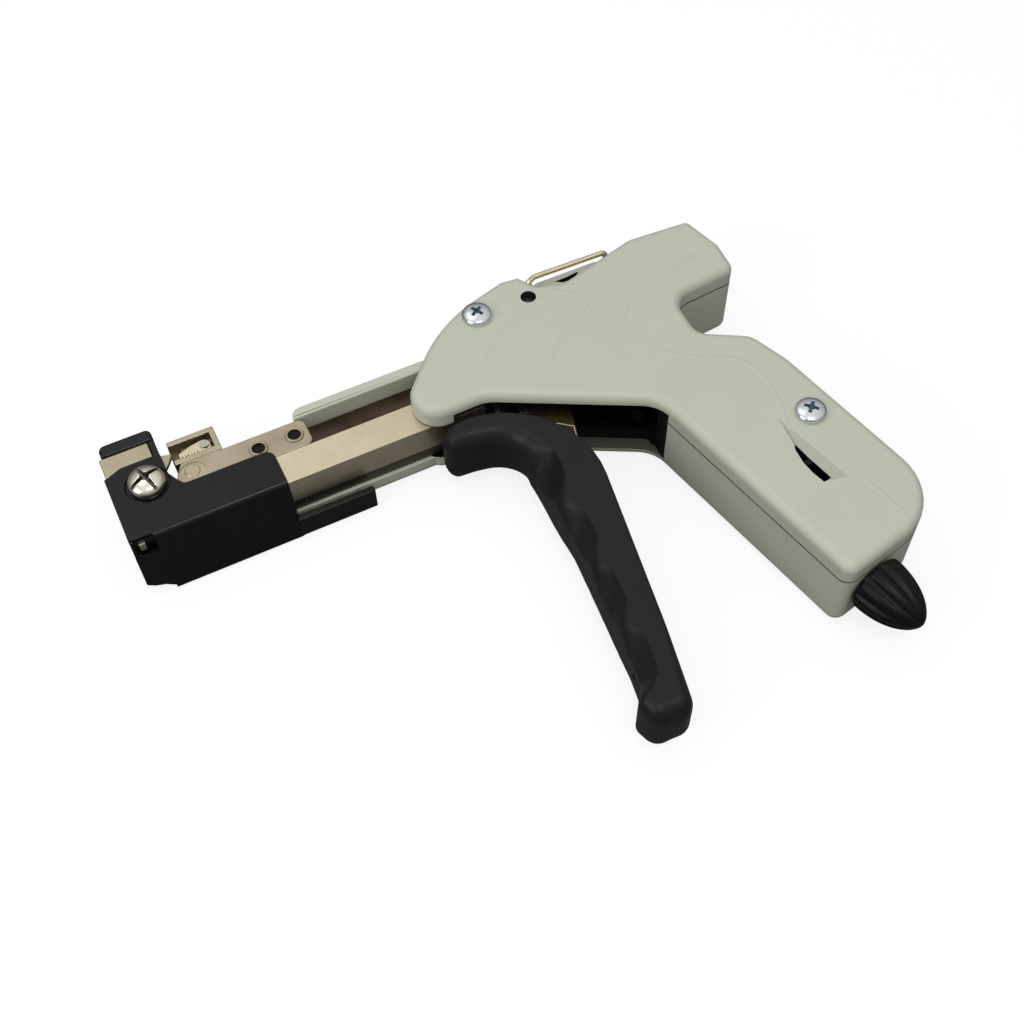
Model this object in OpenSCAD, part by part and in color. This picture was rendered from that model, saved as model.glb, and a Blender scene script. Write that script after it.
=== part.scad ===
// Cable tie tensioning tool lying on its side, in millimetres.
// X runs back along the barrel, Y towards the tool's top edge and Z up from the table.
// The origin lies on the flat underside, beneath the pivot of the trigger.

/* [Housing] */
// Length of the body, from its nose wall to the back of the horn
body_l = 97; // [95:1:102]
// Height of the body, from its crown to the chin above the handle
body_h = 55; // [54:0.5:58]
// Length of the handle below the chin
handle_l = 66; // [64:1:76]
// Depth of the handle, from its front wall to its back wall
handle_d = 35; // [34:0.5:39]
// Angle by which the handle leans back
lean = 11.9; // [10:0.5:14]
// Thickness of the housing between its two side faces
case_t = 24; // [23.5:0.5:26]
// Depth of the near shell, from the joint line to its side face
near_t = 6; // [5.5:0.25:6.5]
// Wall of both shells
wall = 2.2; // [1.8:0.1:2.5]
// Rounding along the edges of the side faces
edge_r = 2.5; // [1.5:0.25:3]

/* [Trigger] */
// Reach of the trigger below its pivot
trigger_l = 122; // [118:1:126]
// Width of the trigger, across the tool
trigger_w = 17; // [16:0.5:17.5]
// Distance from the pivot to the pin that pulls the drive link
crank = 19; // [18.5:0.25:19.5]
// Thickness of the two steel trigger arms
arm_t = 1.5; // [1.2:0.1:1.8]

/* [Nose] */
// Reach of the steel barrel in front of the pivot
reach = 118; // [115:1:124]
// Width of the barrel
barrel_w = 9; // [8.5:0.25:9.5]
// Thickness of the tension bar
bar_t = 3.1; // [2.8:0.1:3.4]
// Width of the tension bar
bar_w = 8.6; // [8:0.2:8.8]
// Wall of the folded steel parts
steel_t = 1.2; // [1:0.1:1.4]
// Thickness of the nose cover
cover_t = 1; // [0.8:0.1:1.2]
// Length of the nose cover's side face
cover_l = 40.5; // [38:0.5:42]

/* [Adjuster] */
// Largest diameter of the knob
knob_dia = 14.6; // [13.6:0.2:15.6]
// Length of the knob
knob_l = 15.7; // [14.5:0.3:18]
// Diameter of the threaded tension rod
rod_dia = 6; // [5:0.5:6.5]
// Travel of the tension nut to each side of its middle place
nut_travel = 5; // [3:0.5:5.5]

/* [Hanging bail] */
// Diameter of the bail's wire
wire_dia = 1.5; // [1.2:0.1:1.7]
// Length of the bail, from its pivot to its crossbar
bail_l = 24.8; // [23:0.4:27]

/* [Fasteners] */
// Diameter of the shell screws' heads
shell_head_dia = 8; // [7:0.25:8.5]
// Diameter of the nose screw's head
nose_head_dia = 9.5; // [8.5:0.25:10]
// Running clearance of a pivot or a sliding rod
fit = 0.05; // [0.03:0.01:0.08]

/* [Hidden] */
$fn = 48;
// Overrun of every cut past the face that it opens
over = 0.5;
// Room round the trigger in its opening
room = 0.5;
// Gap between pieces that pass or lie beside each other
gap = 0.3;
// Gap between fixed pieces that seat on each other
seat = 0.1;

// Steps in each rounded corner and along each rounded edge
corner_steps = 4;
edge_steps = 2;
// Smallest radius left on a corner
tip_r = 0.4;

// Height of the joint line and of the inner faces of the two side walls
part_z = case_t - near_t;
inner_z = case_t - wall;
mid_z = case_t / 2;

// Corners of the body, as shares of its length, its height and its height again for the radius
belly_shares = [[-0.429, -0.46, 0.118], [-0.253, -0.453, 0.182], [0.141, -0.836, 0.164]];
back_shares = [[0.474, -0.684, 0.109], [0.351, -0.555, 0.091], [0.356, -0.309, 0.109],
    [0.563, -0.28, 0.055], [0.571, -0.1, 0.073], [0.54, 0.116, 0.04], [0.354, 0.138, 0.145],
    [0.115, 0.024, 0.073], [0.041, 0.065, 0.036], [0.012, 0.158, 0.022], [-0.042, 0.167, 0.055],
    [-0.256, 0.06, 0.818], [-0.429, -0.276, 0.127]];
// Corners of the handle, as shares of its length, its depth and its depth again for the radius
grip_shares = [[1, 0, 0.09], [1, 0.99, 0.46], [0.15, 1, 0.7]];

// Direction down the handle, direction across it from front to back, and its chin corner
down = [sin(lean), -cos(lean)];
across = [cos(lean), sin(lean)];
chin = [belly_shares[2][0] * body_l, belly_shares[2][1] * body_h];

// Place in the handle, so far below the chin and so far behind its front wall
function in_grip(s, t) = chin + s * down + t * across;

// Geometry of outlines: directions, turned vectors and rounded corners
function dir(a, b) = (b - a) / norm(b - a);
function left(v) = [-v[1], v[0]];
function turned(v, a) = [v[0] * cos(a) - v[1] * sin(a), v[0] * sin(a) + v[1] * cos(a)];
function flat(p) = [p[0], p[1]];
function scaled(shares, sx, sy) = [for (p = shares) [p[0] * sx, p[1] * sy, p[2] * sy]];

// Corner list moved inwards by d, with its radii kept concentric
function inset(pts, d) = let(n = len(pts)) [for (i = [0 : n - 1]) let(
    p = flat(pts[(i + n - 1) % n]),
    c = flat(pts[i]),
    q = flat(pts[(i + 1) % n]),
    n1 = left(dir(p, c)),
    n2 = left(dir(c, q)),
    side = sign(cross(dir(p, c), dir(c, q))),
    m = c + d * (n1 + n2) / (1 + n1 * n2))
    [m[0], m[1], max(pts[i][2] - side * d, tip_r)]];

// Outline of a corner list, with every corner rounded
function outline(pts) = let(n = len(pts)) [for (i = [0 : n - 1]) let(
    p = flat(pts[(i + n - 1) % n]),
    c = flat(pts[i]),
    q = flat(pts[(i + 1) % n]),
    turn = atan2(cross(dir(p, c), dir(c, q)), dir(p, c) * dir(c, q)),
    start = c - dir(p, c) * pts[i][2] * tan(abs(turn) / 2),
    hub = start + sign(turn) * pts[i][2] * left(dir(p, c)))
    each [for (k = [0 : corner_steps]) hub + turned(start - hub, turn * k / corner_steps)]];

// Whether a point lies in a triangle that turns left
function inside(p, a, b, c) =
    cross(b - a, p - a) >= 0 && cross(c - b, p - b) >= 0 && cross(a - c, p - c) >= 0;

// Whether the corner at place k of a loop can be cut off as a triangle
function is_ear(pts, loop, k) = let(
    n = len(loop),
    a = pts[loop[(k + n - 1) % n]],
    b = pts[loop[k]],
    c = pts[loop[(k + 1) % n]])
    cross(b - a, c - b) > 0
    && len([for (i = loop) let(p = pts[i]) if (p != a && p != b && p != c && inside(p, a, b, c)) i]) == 0;

// Place of the first corner from k on that can be cut off
function ear_at(pts, loop, k) = k >= len(loop) - 1 || is_ear(pts, loop, k) ? k : ear_at(pts, loop, k + 1);

// Triangles that fill a loop of points
function filled(pts, loop) = let(n = len(loop)) n < 3 ? [] : let(
    k = ear_at(pts, loop, 0),
    ear = [loop[(k + n - 1) % n], loop[k], loop[(k + 1) % n]],
    rest = [for (i = [0 : n - 1]) if (i != k) loop[i]])
    concat([ear], filled(pts, rest));

// Slab of a corner list between two heights, with its lower and upper edges rounded
module slab(pts, z0, z1, r0, r1) {
    low = r0 > 0 ? [for (k = [0 : edge_steps]) let(a = 90 * k / edge_steps)
        [r0 * (1 - sin(a)), z0 + r0 * (1 - cos(a))]] : [[0, z0]];
    high = r1 > 0 ? [for (k = [0 : edge_steps]) let(a = 90 * k / edge_steps)
        [r1 * (1 - cos(a)), z1 - r1 * (1 - sin(a))]] : [[0, z1]];
    rings = concat(low, high);
    loops = [for (g = rings) outline(inset(pts, g[0]))];
    n = len(loops[0]);
    last = len(rings) - 1;
    all = [for (j = [0 : n - 1]) j];
    polyhedron(
        points = [for (i = [0 : last]) each [for (p = loops[i]) [p[0], p[1], rings[i][1]]]],
        faces = concat(
            filled(loops[0], all),
            [for (i = [0 : last - 1]) each [for (j = [0 : n - 1]) let(k = (j + 1) % n)
                each [[i * n + k, i * n + j, (i + 1) * n + j],
                    [i * n + k, (i + 1) * n + j, (i + 1) * n + k]]]],
            [for (t = filled(loops[last], all)) [last * n + t[2], last * n + t[1], last * n + t[0]]]));
}

// Prism of a plain outline between two heights
module prism(pts, z0, z1) {
    translate([0, 0, z0])
        linear_extrude(z1 - z0)
            polygon(pts);
}

// Box between two corners
module block(x0, y0, z0, x1, y1, z1) {
    translate([x0, y0, z0])
        cube([x1 - x0, y1 - y0, z1 - z0]);
}

// Upright rod at a place, between two heights
module post(at, r, z0, z1) {
    translate([at[0], at[1], z0])
        cylinder(r = r, h = z1 - z0);
}

// Rod along the handle's own axis, from one distance below the chin to another
module grip_rod(r, s0, s1) {
    translate([in_grip(s0, rod_t)[0], in_grip(s0, rod_t)[1], rod_z])
        rotate([90, 0, lean])
            cylinder(r = r, h = s1 - s0);
}

// Rounded bar of a given half width from one place to another
module strap(a, b, r, z0, z1) {
    side = r * left(dir(a, b));
    post(a, r, z0, z1);
    post(b, r, z0, z1);
    prism([a - side, b - side, b + side, a + side], z0, z1);
}

// Housing outline
shell_pts = concat(
    scaled(belly_shares, body_l, body_h),
    [for (g = grip_shares) let(p = in_grip(g[0] * handle_l, g[1] * handle_d))
        [p[0], p[1], g[2] * handle_d]],
    scaled(back_shares, body_l, body_h));
nose_x = belly_shares[0][0] * body_l;

// Heights of the layers inside the barrel: rail, frame plate, bar and link
rail_z = 5.2;
plate_t = 4.5;
plate_z = rail_z + plate_t;
bar_z = plate_z + gap;
bar_top = bar_z + bar_t;
barrel_top = part_z - seat;
link_z = bar_top + gap;
link_t = 2.5;
arm_top = part_z;
near_arm_z = arm_top - arm_t;
far_arm_z = 4;

// Edges of the barrel, the bar and the rails, measured from the pivot
barrel_y = -14.7;
barrel_low_y = barrel_y - barrel_w;
barrel_back_x = -24;
bar_y = barrel_y + gap;
bar_mid_y = bar_y + bar_w / 2;
bar_high_y = bar_y + bar_w;
rail_w = 3.2;
rail_y = bar_high_y + gap;
rail_high_y = rail_y + rail_w;
rail_low_y = barrel_low_y - seat;
rail_l = 28.3;
rail_x = nose_x - rail_l;
window_l = 13;

// Fixed places: shell screws, trigger pivot, rocker pivot and barrel pins
screw_x = 15;
screw_places = [[-screw_x, 0], in_grip(0.403 * handle_l, 0.75 * handle_d)];
boss_r = 3.8;
shell_screw_r = 2;
head_h = 2.3;
pin_r = 2;
hub_r = 4.2;
access_r = 1.8;
rocker_at = chin + [0.016, 0.182] * body_h;
rocker_pin_r = 2;
barrel_pin_r = 1.5;
barrel_pin_y = (barrel_y + barrel_low_y) / 2;
barrel_pin_places = [[nose_x + barrel_w, barrel_pin_y], [rail_x + 0.9 * barrel_w, barrel_pin_y]];

// Trigger opening in the lower walls of the shells, behind the closed nose
trigger_z = (case_t - trigger_w) / 2;
trigger_top = trigger_z + trigger_w;
mouth_z = trigger_z - room;
mouth_top = trigger_top + room;
nose_wall_l = 8;
mouth_x = nose_x + nose_wall_l;
mouth_back_x = chin[0] + 0.36 * wall;
mouth_high_y = belly_shares[1][1] * body_h + 2 * wall;

// Adjuster: axis of the rod, the nut's middle place, the indicator slot and the bush
rod_t = 0.277 * handle_d;
rod_z = mid_z;
rod_r = rod_dia / 2;
nut_s = 0.56 * handle_l;
nut_l = 9;
nut_w = 0.35 * handle_d;
nut_base_z = rod_z - nut_w / 2;
slot_t = 0.44 * handle_d;
slot_w = 2;
pointer_r = (slot_w - gap) / 2;
bush_wall = 2.4;
bush_r = rod_r + bush_wall;
bush_l = 4;
bush_s = handle_l - bush_l;
clip_w = 1.6;
clip_t = 1;

// Bail pivot, the lug that holds it and the ridge behind it
bail_at = [0.031 * body_l, 0.131 * body_h];
wire_r = wire_dia / 2;
lug_r = 2.3;
leg_inset = 3.4;
leg_near_z = case_t - leg_inset;
leg_far_z = leg_inset;
lug_z = leg_far_z + wire_r + 2 * gap;
lug_top = leg_near_z - wire_r - 2 * gap;
ridge_shares = [[0.133, -0.11, 0.02], [1.052, -0.11, 0.02], [0.968, -0.001, 0.02],
    [0.875, 0.027, 0.03], [0.081, 0.029, 0.03]];
ridge_pts = [for (p = scaled(ridge_shares, bail_l, body_h))
    [bail_at[0] + p[0], bail_at[1] + p[1], p[2]]];
ridge_z = 6.5;

// Front jaw and its cap
front_x = -reach;
jaw_l = 12.6;
jaw_back_x = front_x + jaw_l;
jaw_high_y = 4.4;
jaw_fold_y = -1.2;
jaw_low_y = rail_low_y + rail_w / 4;
die_l = 5;
cap_h = 3.9;
cap_lip = 1.8;
cap_r = 1.5;
cap_back_x = jaw_back_x + cap_lip;

// Corner plate of the jaw, as shares of the jaw's length from its rear fold
guard_shares = [[-0.04, 0.05], [0.365, -0.06], [0.24, -0.25], [0.13, -0.38], [-0.04, -0.38]];

// Gripper carrier: strip, folded box with its floor and top, screws and pawl
tie_gap = 4.2;
carrier_l = 12.3;
carrier_x = jaw_back_x + tie_gap;
carrier_back_x = carrier_x + carrier_l;
strip_t = 1.5;
strip_l = 34.8;
strip_top = part_z - gap;
strip_z = strip_top - strip_t;
strip_x = carrier_x - 2 * room;
strip_back_x = strip_x + strip_l;
tip_l = 2.5;
ledge_w = 1.9;
box_h = 8.1;
box_floor_y = bar_high_y + ledge_w;
box_high_y = bar_high_y + box_h;
rim_pitch = 9.6;
rim_back = 3.8;
rim_r = 2.5;
rim_h = 0.4;
carrier_screw_r = 1.6;
carrier_screw_places = [for (k = [1, 0]) [strip_back_x - rim_back - k * rim_pitch, bar_mid_y]];
pawl_low = 1.4;
pawl_high = 1.6;
pawl_l = 7.5;
pawl_pin_r = 1.2;
pawl_wall = 0.6;
pawl_at = [carrier_back_x - 3 * pawl_pin_r, box_floor_y + pawl_low + 2 * gap];
pawl_z = bar_z + strip_t + gap;
leaf_l = 6;
leaf_t = 0.4;
leaf_w = 2.4;

// Nose cover: side face, leaning lower wall, front window, cut corner and tongue
cover_z = part_z;
cover_top = cover_z + cover_t;
cover_x = front_x - cover_t / 2;
cover_back_x = cover_x + cover_l;
cover_lean = 4.1;
cover_fold_y = barrel_low_y - cover_t / 2;
cover_foot_y = cover_fold_y - cover_lean;
cover_foot_z = 0.5;
cover_edge_y = -12.8;
cover_notch_y = -8;
cover_r = 2;
cover_fold_z = 5.2;
window_w = 6;
window_h = 5.6;
cut_l = 6.5;
cut_h = 4.5;
tongue_l = 20.5;
tongue_h = 6.5;
tongue_t = 2;
nose_screw_at = [front_x + 0.7 * jaw_l, -barrel_w];
nose_screw_r = 2.5;
nose_head_h = 3.6;

// Linkage: pin on the trigger arms, pin on the bar and the link between them
crank_at = [-0.055 * crank, -crank];
slide_at = [barrel_back_x, bar_mid_y];
bar_end_l = 4;
link_r = 3;
link_pin_r = 1.6;
loose = 0.35;

// Cutter: bar in the barrel, link to the rocker and the rocker's two arms
stud_r = 1.4;
cutter_z = plate_z + steel_t + gap;
cutter_top = barrel_top - steel_t - gap;
cutter_low_y = barrel_low_y + steel_t + gap;
cutter_high_y = barrel_y - steel_t - gap;
blade_l = 4.7;
blade_x = jaw_back_x + 3 * gap;
cutter_x = blade_x + blade_l;
cutter_tail = 7;
cutter_back_x = barrel_back_x + cutter_tail;
cutter_link_t = 1.5;
cutter_link_z = cutter_z - cutter_link_t;
cutter_link_r = 1.9;
cutter_pin_at = [cutter_back_x - 2 * stud_r, (cutter_low_y + cutter_high_y) / 2 - 1.4 * stud_r];
rocker_t = 2.2;
rocker_r = 3;
rocker_hub_r = 3.6;
rocker_z = cutter_link_z - gap - rocker_t;
rocker_arm = 10;
rocker_up = rocker_at + [-0.05 * rocker_arm, rocker_arm];
hook_s = -0.09 * handle_l;
hook_at = in_grip(hook_s, rod_t);
spring_r = 4.5;
spring_wire = 1.2;
hook_wire_r = 0.8;
spring_s = 0.02 * handle_l;
spring_end_s = nut_s - nut_l / 2 - nut_travel - gap;

// Space that the trigger, its arms and the folded barrel need in both shells
module mouth_cut() {
    block(mouth_x, 2 * chin[1], mouth_z, mouth_back_x, mouth_high_y, mouth_top);
}

// Near shell: a shallow lid with the side face, the indicator slot and the access hole
module near_shell() {
    cavity = outline(inset(shell_pts, wall));
    tip = in_grip(nut_s - nut_travel, slot_t);
    end = in_grip(nut_s + nut_travel, slot_t);
    color([0.737, 0.749, 0.678])
        difference() {
            union() {
                difference() {
                    slab(shell_pts, part_z, case_t, 0, edge_r);
                    prism(cavity, part_z - over, inner_z);
                    mouth_cut();
                }
                post(screw_places[0], boss_r, part_z, inner_z + over);
                post(screw_places[1], boss_r, part_z, inner_z + over);
                post([0, 0], hub_r, arm_top + gap, inner_z + over);
                post(rocker_at, rocker_pin_r + wall, part_z, inner_z + over);
            }
            for (at = screw_places)
                post(at, shell_screw_r + seat, part_z - over, case_t + over);
            post([0, 0], pin_r, arm_top, inner_z);
            post([0, 0], access_r, arm_top, case_t + over);
            post(rocker_at, rocker_pin_r, part_z - over, inner_z);
            strap(tip, end, slot_w / 2, inner_z - over, case_t + over);
            post(bail_at, lug_r + gap, part_z - over, leg_near_z + wire_r + gap);
        }
}

// Far shell: the deep half with its bosses, the rod's seat, the bail lug and the front rails
module far_shell() {
    cavity = outline(inset(shell_pts, wall));
    rail_pts = [[rail_x, rail_low_y, edge_r], [nose_x + wall, rail_low_y, tip_r],
        [nose_x + wall, rail_high_y, tip_r], [rail_x, rail_high_y, edge_r]];
    color([0.737, 0.749, 0.678])
        difference() {
            union() {
                difference() {
                    slab(shell_pts, 0, part_z, edge_r, 0);
                    prism(cavity, wall, part_z + over);
                    post([0, 0], hub_r + gap, far_arm_z - gap, part_z + over);
                    mouth_cut();
                }
                slab(rail_pts, 0, rail_z, edge_r, 0);
                block(rail_x + rail_w / 2, rail_y, rail_z - over, nose_x + wall, rail_high_y, part_z);
                post([rail_x + rail_w / 2, rail_y + rail_w / 2], rail_w / 2, rail_z - over, part_z);
                prism(outline(ridge_pts), ridge_z, part_z);
                post(bail_at, lug_r, lug_z, lug_top);
                block(bail_at[0] - lug_r, hub_r + gap, lug_z, bail_at[0] + lug_r, bail_at[1], part_z);
                for (at = screw_places)
                    post(at, boss_r, wall - over, part_z);
                post([0, 0], hub_r, wall - over, far_arm_z - gap);
                post(rocker_at, rocker_pin_r + wall, wall - over, rocker_z - gap);
                grip_rod_seat();
            }
            for (at = screw_places)
                post(at, shell_screw_r, wall, part_z + over);
            post([0, 0], pin_r, wall / 2, part_z);
            post(rocker_at, rocker_pin_r, wall / 2, part_z);
            post(bail_at, wire_r + fit, lug_z - over, lug_top + over);
            block(nose_x - over, rail_low_y, rail_z, nose_x + window_l, rail_y, part_z + over);
            for (at = barrel_pin_places)
                post(at, barrel_pin_r, wall / 2, rail_z + over);
            grip_rod(bush_r, bush_s - over, handle_l + wall);
        }
}

// Block at the foot of the handle that holds the rod's bush
module grip_rod_seat() {
    width = bush_r + wall;
    a = in_grip(bush_s, rod_t - width);
    b = in_grip(handle_l - wall / 2, rod_t - width);
    prism([a, b, b + 2 * width * across, a + 2 * width * across], wall - over, part_z);
}

// The two shell screws, with low domed heads
module shell_screws() {
    color([0.80, 0.78, 0.72])
        for (at = screw_places) {
            post(at, shell_screw_r, wall + over, case_t);
            translate([at[0], at[1], case_t])
                dome(shell_head_dia / 2, head_h);
        }
}

// Domed screw head with a straight rim and a cross recess
module dome(r, h) {
    rim = h / 3;
    difference() {
        rotate_extrude()
            polygon(concat([[0, 0], [r, 0]],
                [for (k = [0 : corner_steps]) let(a = 90 * k / (corner_steps + 1))
                    [r * cos(a), rim + (h - rim) * sin(a)]],
                [[0, h]]));
        for (a = [0, 90])
            rotate([0, 0, a])
                block(-r / 2, -r / 10, rim, r / 2, r / 10, 2 * h);
    }
}

// Fixed steel plate under the bar, which carries the barrel and the jaw
module frame_plate() {
    color([0.40, 0.40, 0.36])
        difference() {
            block(front_x + cover_t, jaw_low_y, rail_z, barrel_back_x, bar_high_y - seat, plate_z);
            for (at = barrel_pin_places)
                post(at, barrel_pin_r, 0, part_z);
            post(nose_screw_at, nose_screw_r, 0, part_z);
        }
}

// Folded steel barrel that guides the cutter bar
module barrel() {
    color([0.84, 0.80, 0.72])
        difference() {
            block(jaw_back_x + cover_t, barrel_low_y, plate_z, barrel_back_x, barrel_y, barrel_top);
            block(jaw_back_x, barrel_low_y + steel_t, plate_z + steel_t, barrel_back_x + over,
                barrel_y - steel_t, barrel_top - steel_t);
            for (at = barrel_pin_places)
                post(at, barrel_pin_r, 0, plate_z + steel_t + over);
        }
}

// Pins that hold the barrel and its plate in the far shell
module barrel_pins() {
    color([0.70, 0.68, 0.64])
        for (at = barrel_pin_places)
            post(at, barrel_pin_r, wall / 2, plate_z + steel_t);
}

// Front jaw that the head of a tie rests against, with its corner plate
module front_jaw() {
    corner = [jaw_back_x, jaw_fold_y];
    color([0.84, 0.80, 0.72])
        difference() {
            union() {
                block(front_x + cover_t, jaw_low_y, plate_z, jaw_back_x, jaw_fold_y, part_z);
                block(front_x, jaw_fold_y - over, plate_z, jaw_back_x, jaw_high_y, part_z);
                prism([for (g = guard_shares) corner + g * jaw_l], part_z - steel_t, part_z);
            }
            block(jaw_back_x - die_l, cutter_low_y, cutter_z - over, jaw_back_x + over,
                cutter_high_y, cutter_top + over);
            post(nose_screw_at, nose_screw_r, 0, part_z + over);
        }
}

// Black cap over the top of the front jaw
module jaw_cap() {
    cap_x = front_x + cap_r / 2;
    cap_top_y = jaw_high_y + cap_h;
    color([0.12, 0.12, 0.13])
        union() {
            slab([[cap_x, jaw_high_y, tip_r], [cap_back_x, jaw_high_y, tip_r],
                [cap_back_x, cap_top_y, cap_r], [cap_x, cap_top_y, cap_r]],
                plate_z, part_z + room, tip_r, tip_r);
            block(jaw_back_x, jaw_fold_y + seat, plate_z + room, cap_back_x, jaw_high_y + over,
                part_z - steel_t - seat);
        }
}

// Nose cover: folded sheet with a side face, a leaning lower wall, a front wall and a tongue
module nose_cover() {
    face = [[cover_x, cover_fold_y, cover_r], [cover_back_x, cover_fold_y, tip_r],
        [cover_back_x, cover_edge_y, cover_r], [strip_x + cover_t, cover_edge_y, cover_r],
        [cap_back_x, cover_notch_y, cover_r], [cap_back_x, jaw_fold_y + seat, cover_t],
        [cover_x + cover_fold_z, jaw_fold_y + seat, cover_r], [cover_x, jaw_fold_y - cover_r, cover_t]];
    side = [[cover_fold_y, cover_top], [cover_foot_y, cover_foot_z],
        [cover_foot_y + cover_t, cover_foot_z], [cover_fold_y + cover_t, cover_top]];
    front = [[cover_fold_y, cover_top], [cover_foot_y, cover_foot_z],
        [jaw_fold_y - cover_r, cover_foot_z], [jaw_fold_y - cover_r, cover_top]];
    tongue_y = cover_foot_y + cover_t / 5;
    color([0.10, 0.10, 0.12])
        difference() {
            union() {
                prism(outline(face), cover_z, cover_top);
                translate([cover_x, 0, 0])
                    rotate([90, 0, 90])
                        linear_extrude(cover_l)
                            polygon(side);
                translate([cover_x, 0, 0])
                    rotate([90, 0, 90])
                        linear_extrude(cover_t)
                            polygon(front);
                block(cover_back_x - over, tongue_y, cover_foot_z, cover_back_x + tongue_l,
                    tongue_y + tongue_t, cover_foot_z + tongue_h);
            }
            post(nose_screw_at, nose_screw_r, 0, cover_top + over);
            block(cover_x - over, cover_foot_y - over, cover_top - window_h, cover_x + window_w,
                cover_fold_y + cover_r, cover_top + over);
            translate([0, cover_fold_y + cover_t, 0])
                rotate([90, 0, 0])
                    linear_extrude(cover_lean + cover_t + over)
                        polygon([[cover_x - over, cover_foot_z + cut_h], [cover_x + cut_l / 4,
                            cover_foot_z + cut_h / 2], [cover_x + cut_l, cover_foot_z - over],
                            [cover_x - over, cover_foot_z - over]]);
            block(cover_x, barrel_low_y - seat, cover_foot_z, cover_back_x + over, barrel_y, cover_z);
        }
}

// Screw that holds the nose cover to the jaw
module nose_screw() {
    color([0.80, 0.78, 0.72])
        union() {
            post(nose_screw_at, nose_screw_r, rail_z, cover_top);
            translate([nose_screw_at[0], nose_screw_at[1], cover_top])
                dome(nose_head_dia / 2, nose_head_h);
        }
}

// Pivot pin of the trigger
module trigger_pin() {
    color([0.70, 0.68, 0.64])
        post([0, 0], pin_r - fit, wall / 2, inner_z);
}

// Pivot pin of the force-limiting rocker
module rocker_pin() {
    color([0.70, 0.68, 0.64])
        post(rocker_at, rocker_pin_r - fit, wall / 2, inner_z);
}

// Brass bush that the tension rod turns in
module rod_bush() {
    color([0.72, 0.60, 0.36])
        difference() {
            grip_rod(bush_r, bush_s, handle_l + seat);
            grip_rod(rod_r + fit, bush_s - over, handle_l + over);
        }
}

// Torsion spring round the trigger pin, wound tube with its leg against the screw boss
module return_spring() {
    z0 = far_arm_z + arm_t + gap;
    leg_r = 0.6;
    coil_r = hub_r - leg_r;
    leg_y = coil_r - leg_r;
    color([0.62, 0.60, 0.56])
        difference() {
            union() {
                post([0, 0], coil_r, z0, bar_z - gap);
                strap([0, leg_y], [boss_r - screw_x + leg_r + gap, leg_y], leg_r, z0, z0 + 2 * leg_r);
            }
            post([0, 0], pin_r + gap, 0, part_z);
        }
}

// Corners of the trigger, as shares of its reach, with its finger waves made by a loop
beak_shares = [[-0.317, -0.216, 0.026], [-0.316, -0.27, 0.028], [-0.178, -0.298, 0.074]];
wave_shares = [for (k = [0 : 2]) each [[-0.181 - 0.013 * k, -0.492 - 0.147 * k, 0.03],
    [-0.177 - 0.015 * k, -0.562 - 0.147 * k, 0.06]]];
foot_shares = [[-0.224, -0.908, 0.049], [-0.26, -0.946, 0.024],
    [-0.251, -0.995, 0.025], [-0.156, -1, 0.033], [-0.009, -0.22, 0.23]];

// Plates of the trigger arms, from the pivot to the head of the trigger
arm_shares = [[-0.034, 0, 0.02], [-0.16, -0.3, 0.02], [-0.15, -0.37, 0.03], [-0.075, -0.4, 0.03],
    [0.034, 0, 0.02]];
rivet_shares = [[-0.127, -0.238], [-0.11, -0.35]];
// Hollow of the trigger's head between its arms
head_shares = [[-0.19, -0.2], [-0.15, -0.33], [-0.1, -0.36], [0.02, -0.36], [0.02, -0.2]];
rivet_r = 1.75;
rivet_places = [for (p = rivet_shares) p * trigger_l];

// Both trigger arms as solid plates, grown by a gap for their pockets
module arm_plates(grow) {
    pts = inset([for (p = arm_shares) p * trigger_l], -grow);
    for (z = [far_arm_z, near_arm_z])
        prism(outline(pts), z - grow, z + arm_t + grow);
}

// Moulded trigger with its finger waves and the pockets for its arms
module trigger() {
    pts = [for (p = concat(beak_shares, wave_shares, foot_shares)) p * trigger_l];
    color([0.17, 0.16, 0.16])
        difference() {
            slab(pts, trigger_z, trigger_top, trigger_w / 7, trigger_w / 7);
            arm_plates(seat);
            prism(head_shares * trigger_l, far_arm_z + arm_t, near_arm_z);
            post(rivet_places[1], rivet_r, 0, case_t);
        }
}

// Two steel arms that carry the trigger on its pivot
module trigger_arms() {
    color([0.52, 0.50, 0.46])
        difference() {
            union() {
                arm_plates(0);
                for (z = [far_arm_z, near_arm_z])
                    post([0, 0], hub_r, z, z + arm_t);
            }
            post([0, 0], pin_r, 0, case_t);
            post(crank_at, link_pin_r, 0, case_t);
            for (at = rivet_places)
                post(at, rivet_r, 0, case_t);
        }
}

// Rivets through both arms, one of them through the trigger too
module trigger_rivets() {
    color([0.80, 0.78, 0.72])
        for (at = rivet_places)
            post(at, rivet_r, far_arm_z - seat, arm_top + seat);
}

// Pin on the trigger arms that pulls the drive link
module link_pin() {
    color([0.70, 0.68, 0.64])
        post(crank_at, link_pin_r, link_z - gap, arm_top + seat);
}

// Link from the trigger arms to the tension bar
module drive_link() {
    color([0.45, 0.43, 0.40])
        difference() {
            strap(slide_at, crank_at, link_r, link_z, link_z + link_t);
            post(slide_at, link_pin_r + fit, 0, case_t);
            post(crank_at, link_pin_r + loose, 0, case_t);
        }
}

// Pin on the tension bar that the drive link turns on
module slide_pin() {
    color([0.70, 0.68, 0.64])
        post(slide_at, link_pin_r, bar_z, link_z + link_t + seat);
}

// Bar that slides beside the barrel and draws the gripper back
module tension_bar() {
    color([0.36, 0.31, 0.27])
        difference() {
            union() {
                block(carrier_x, bar_y, bar_z, slide_at[0] + bar_end_l, bar_high_y, bar_top);
                block(carrier_back_x, bar_y + room, bar_top - over, strip_back_x - 2 * room,
                    bar_high_y - room, strip_z);
            }
            post(slide_at, link_pin_r, 0, case_t);
            for (at = carrier_screw_places)
                post(at, carrier_screw_r, 0, case_t);
        }
}

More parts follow.
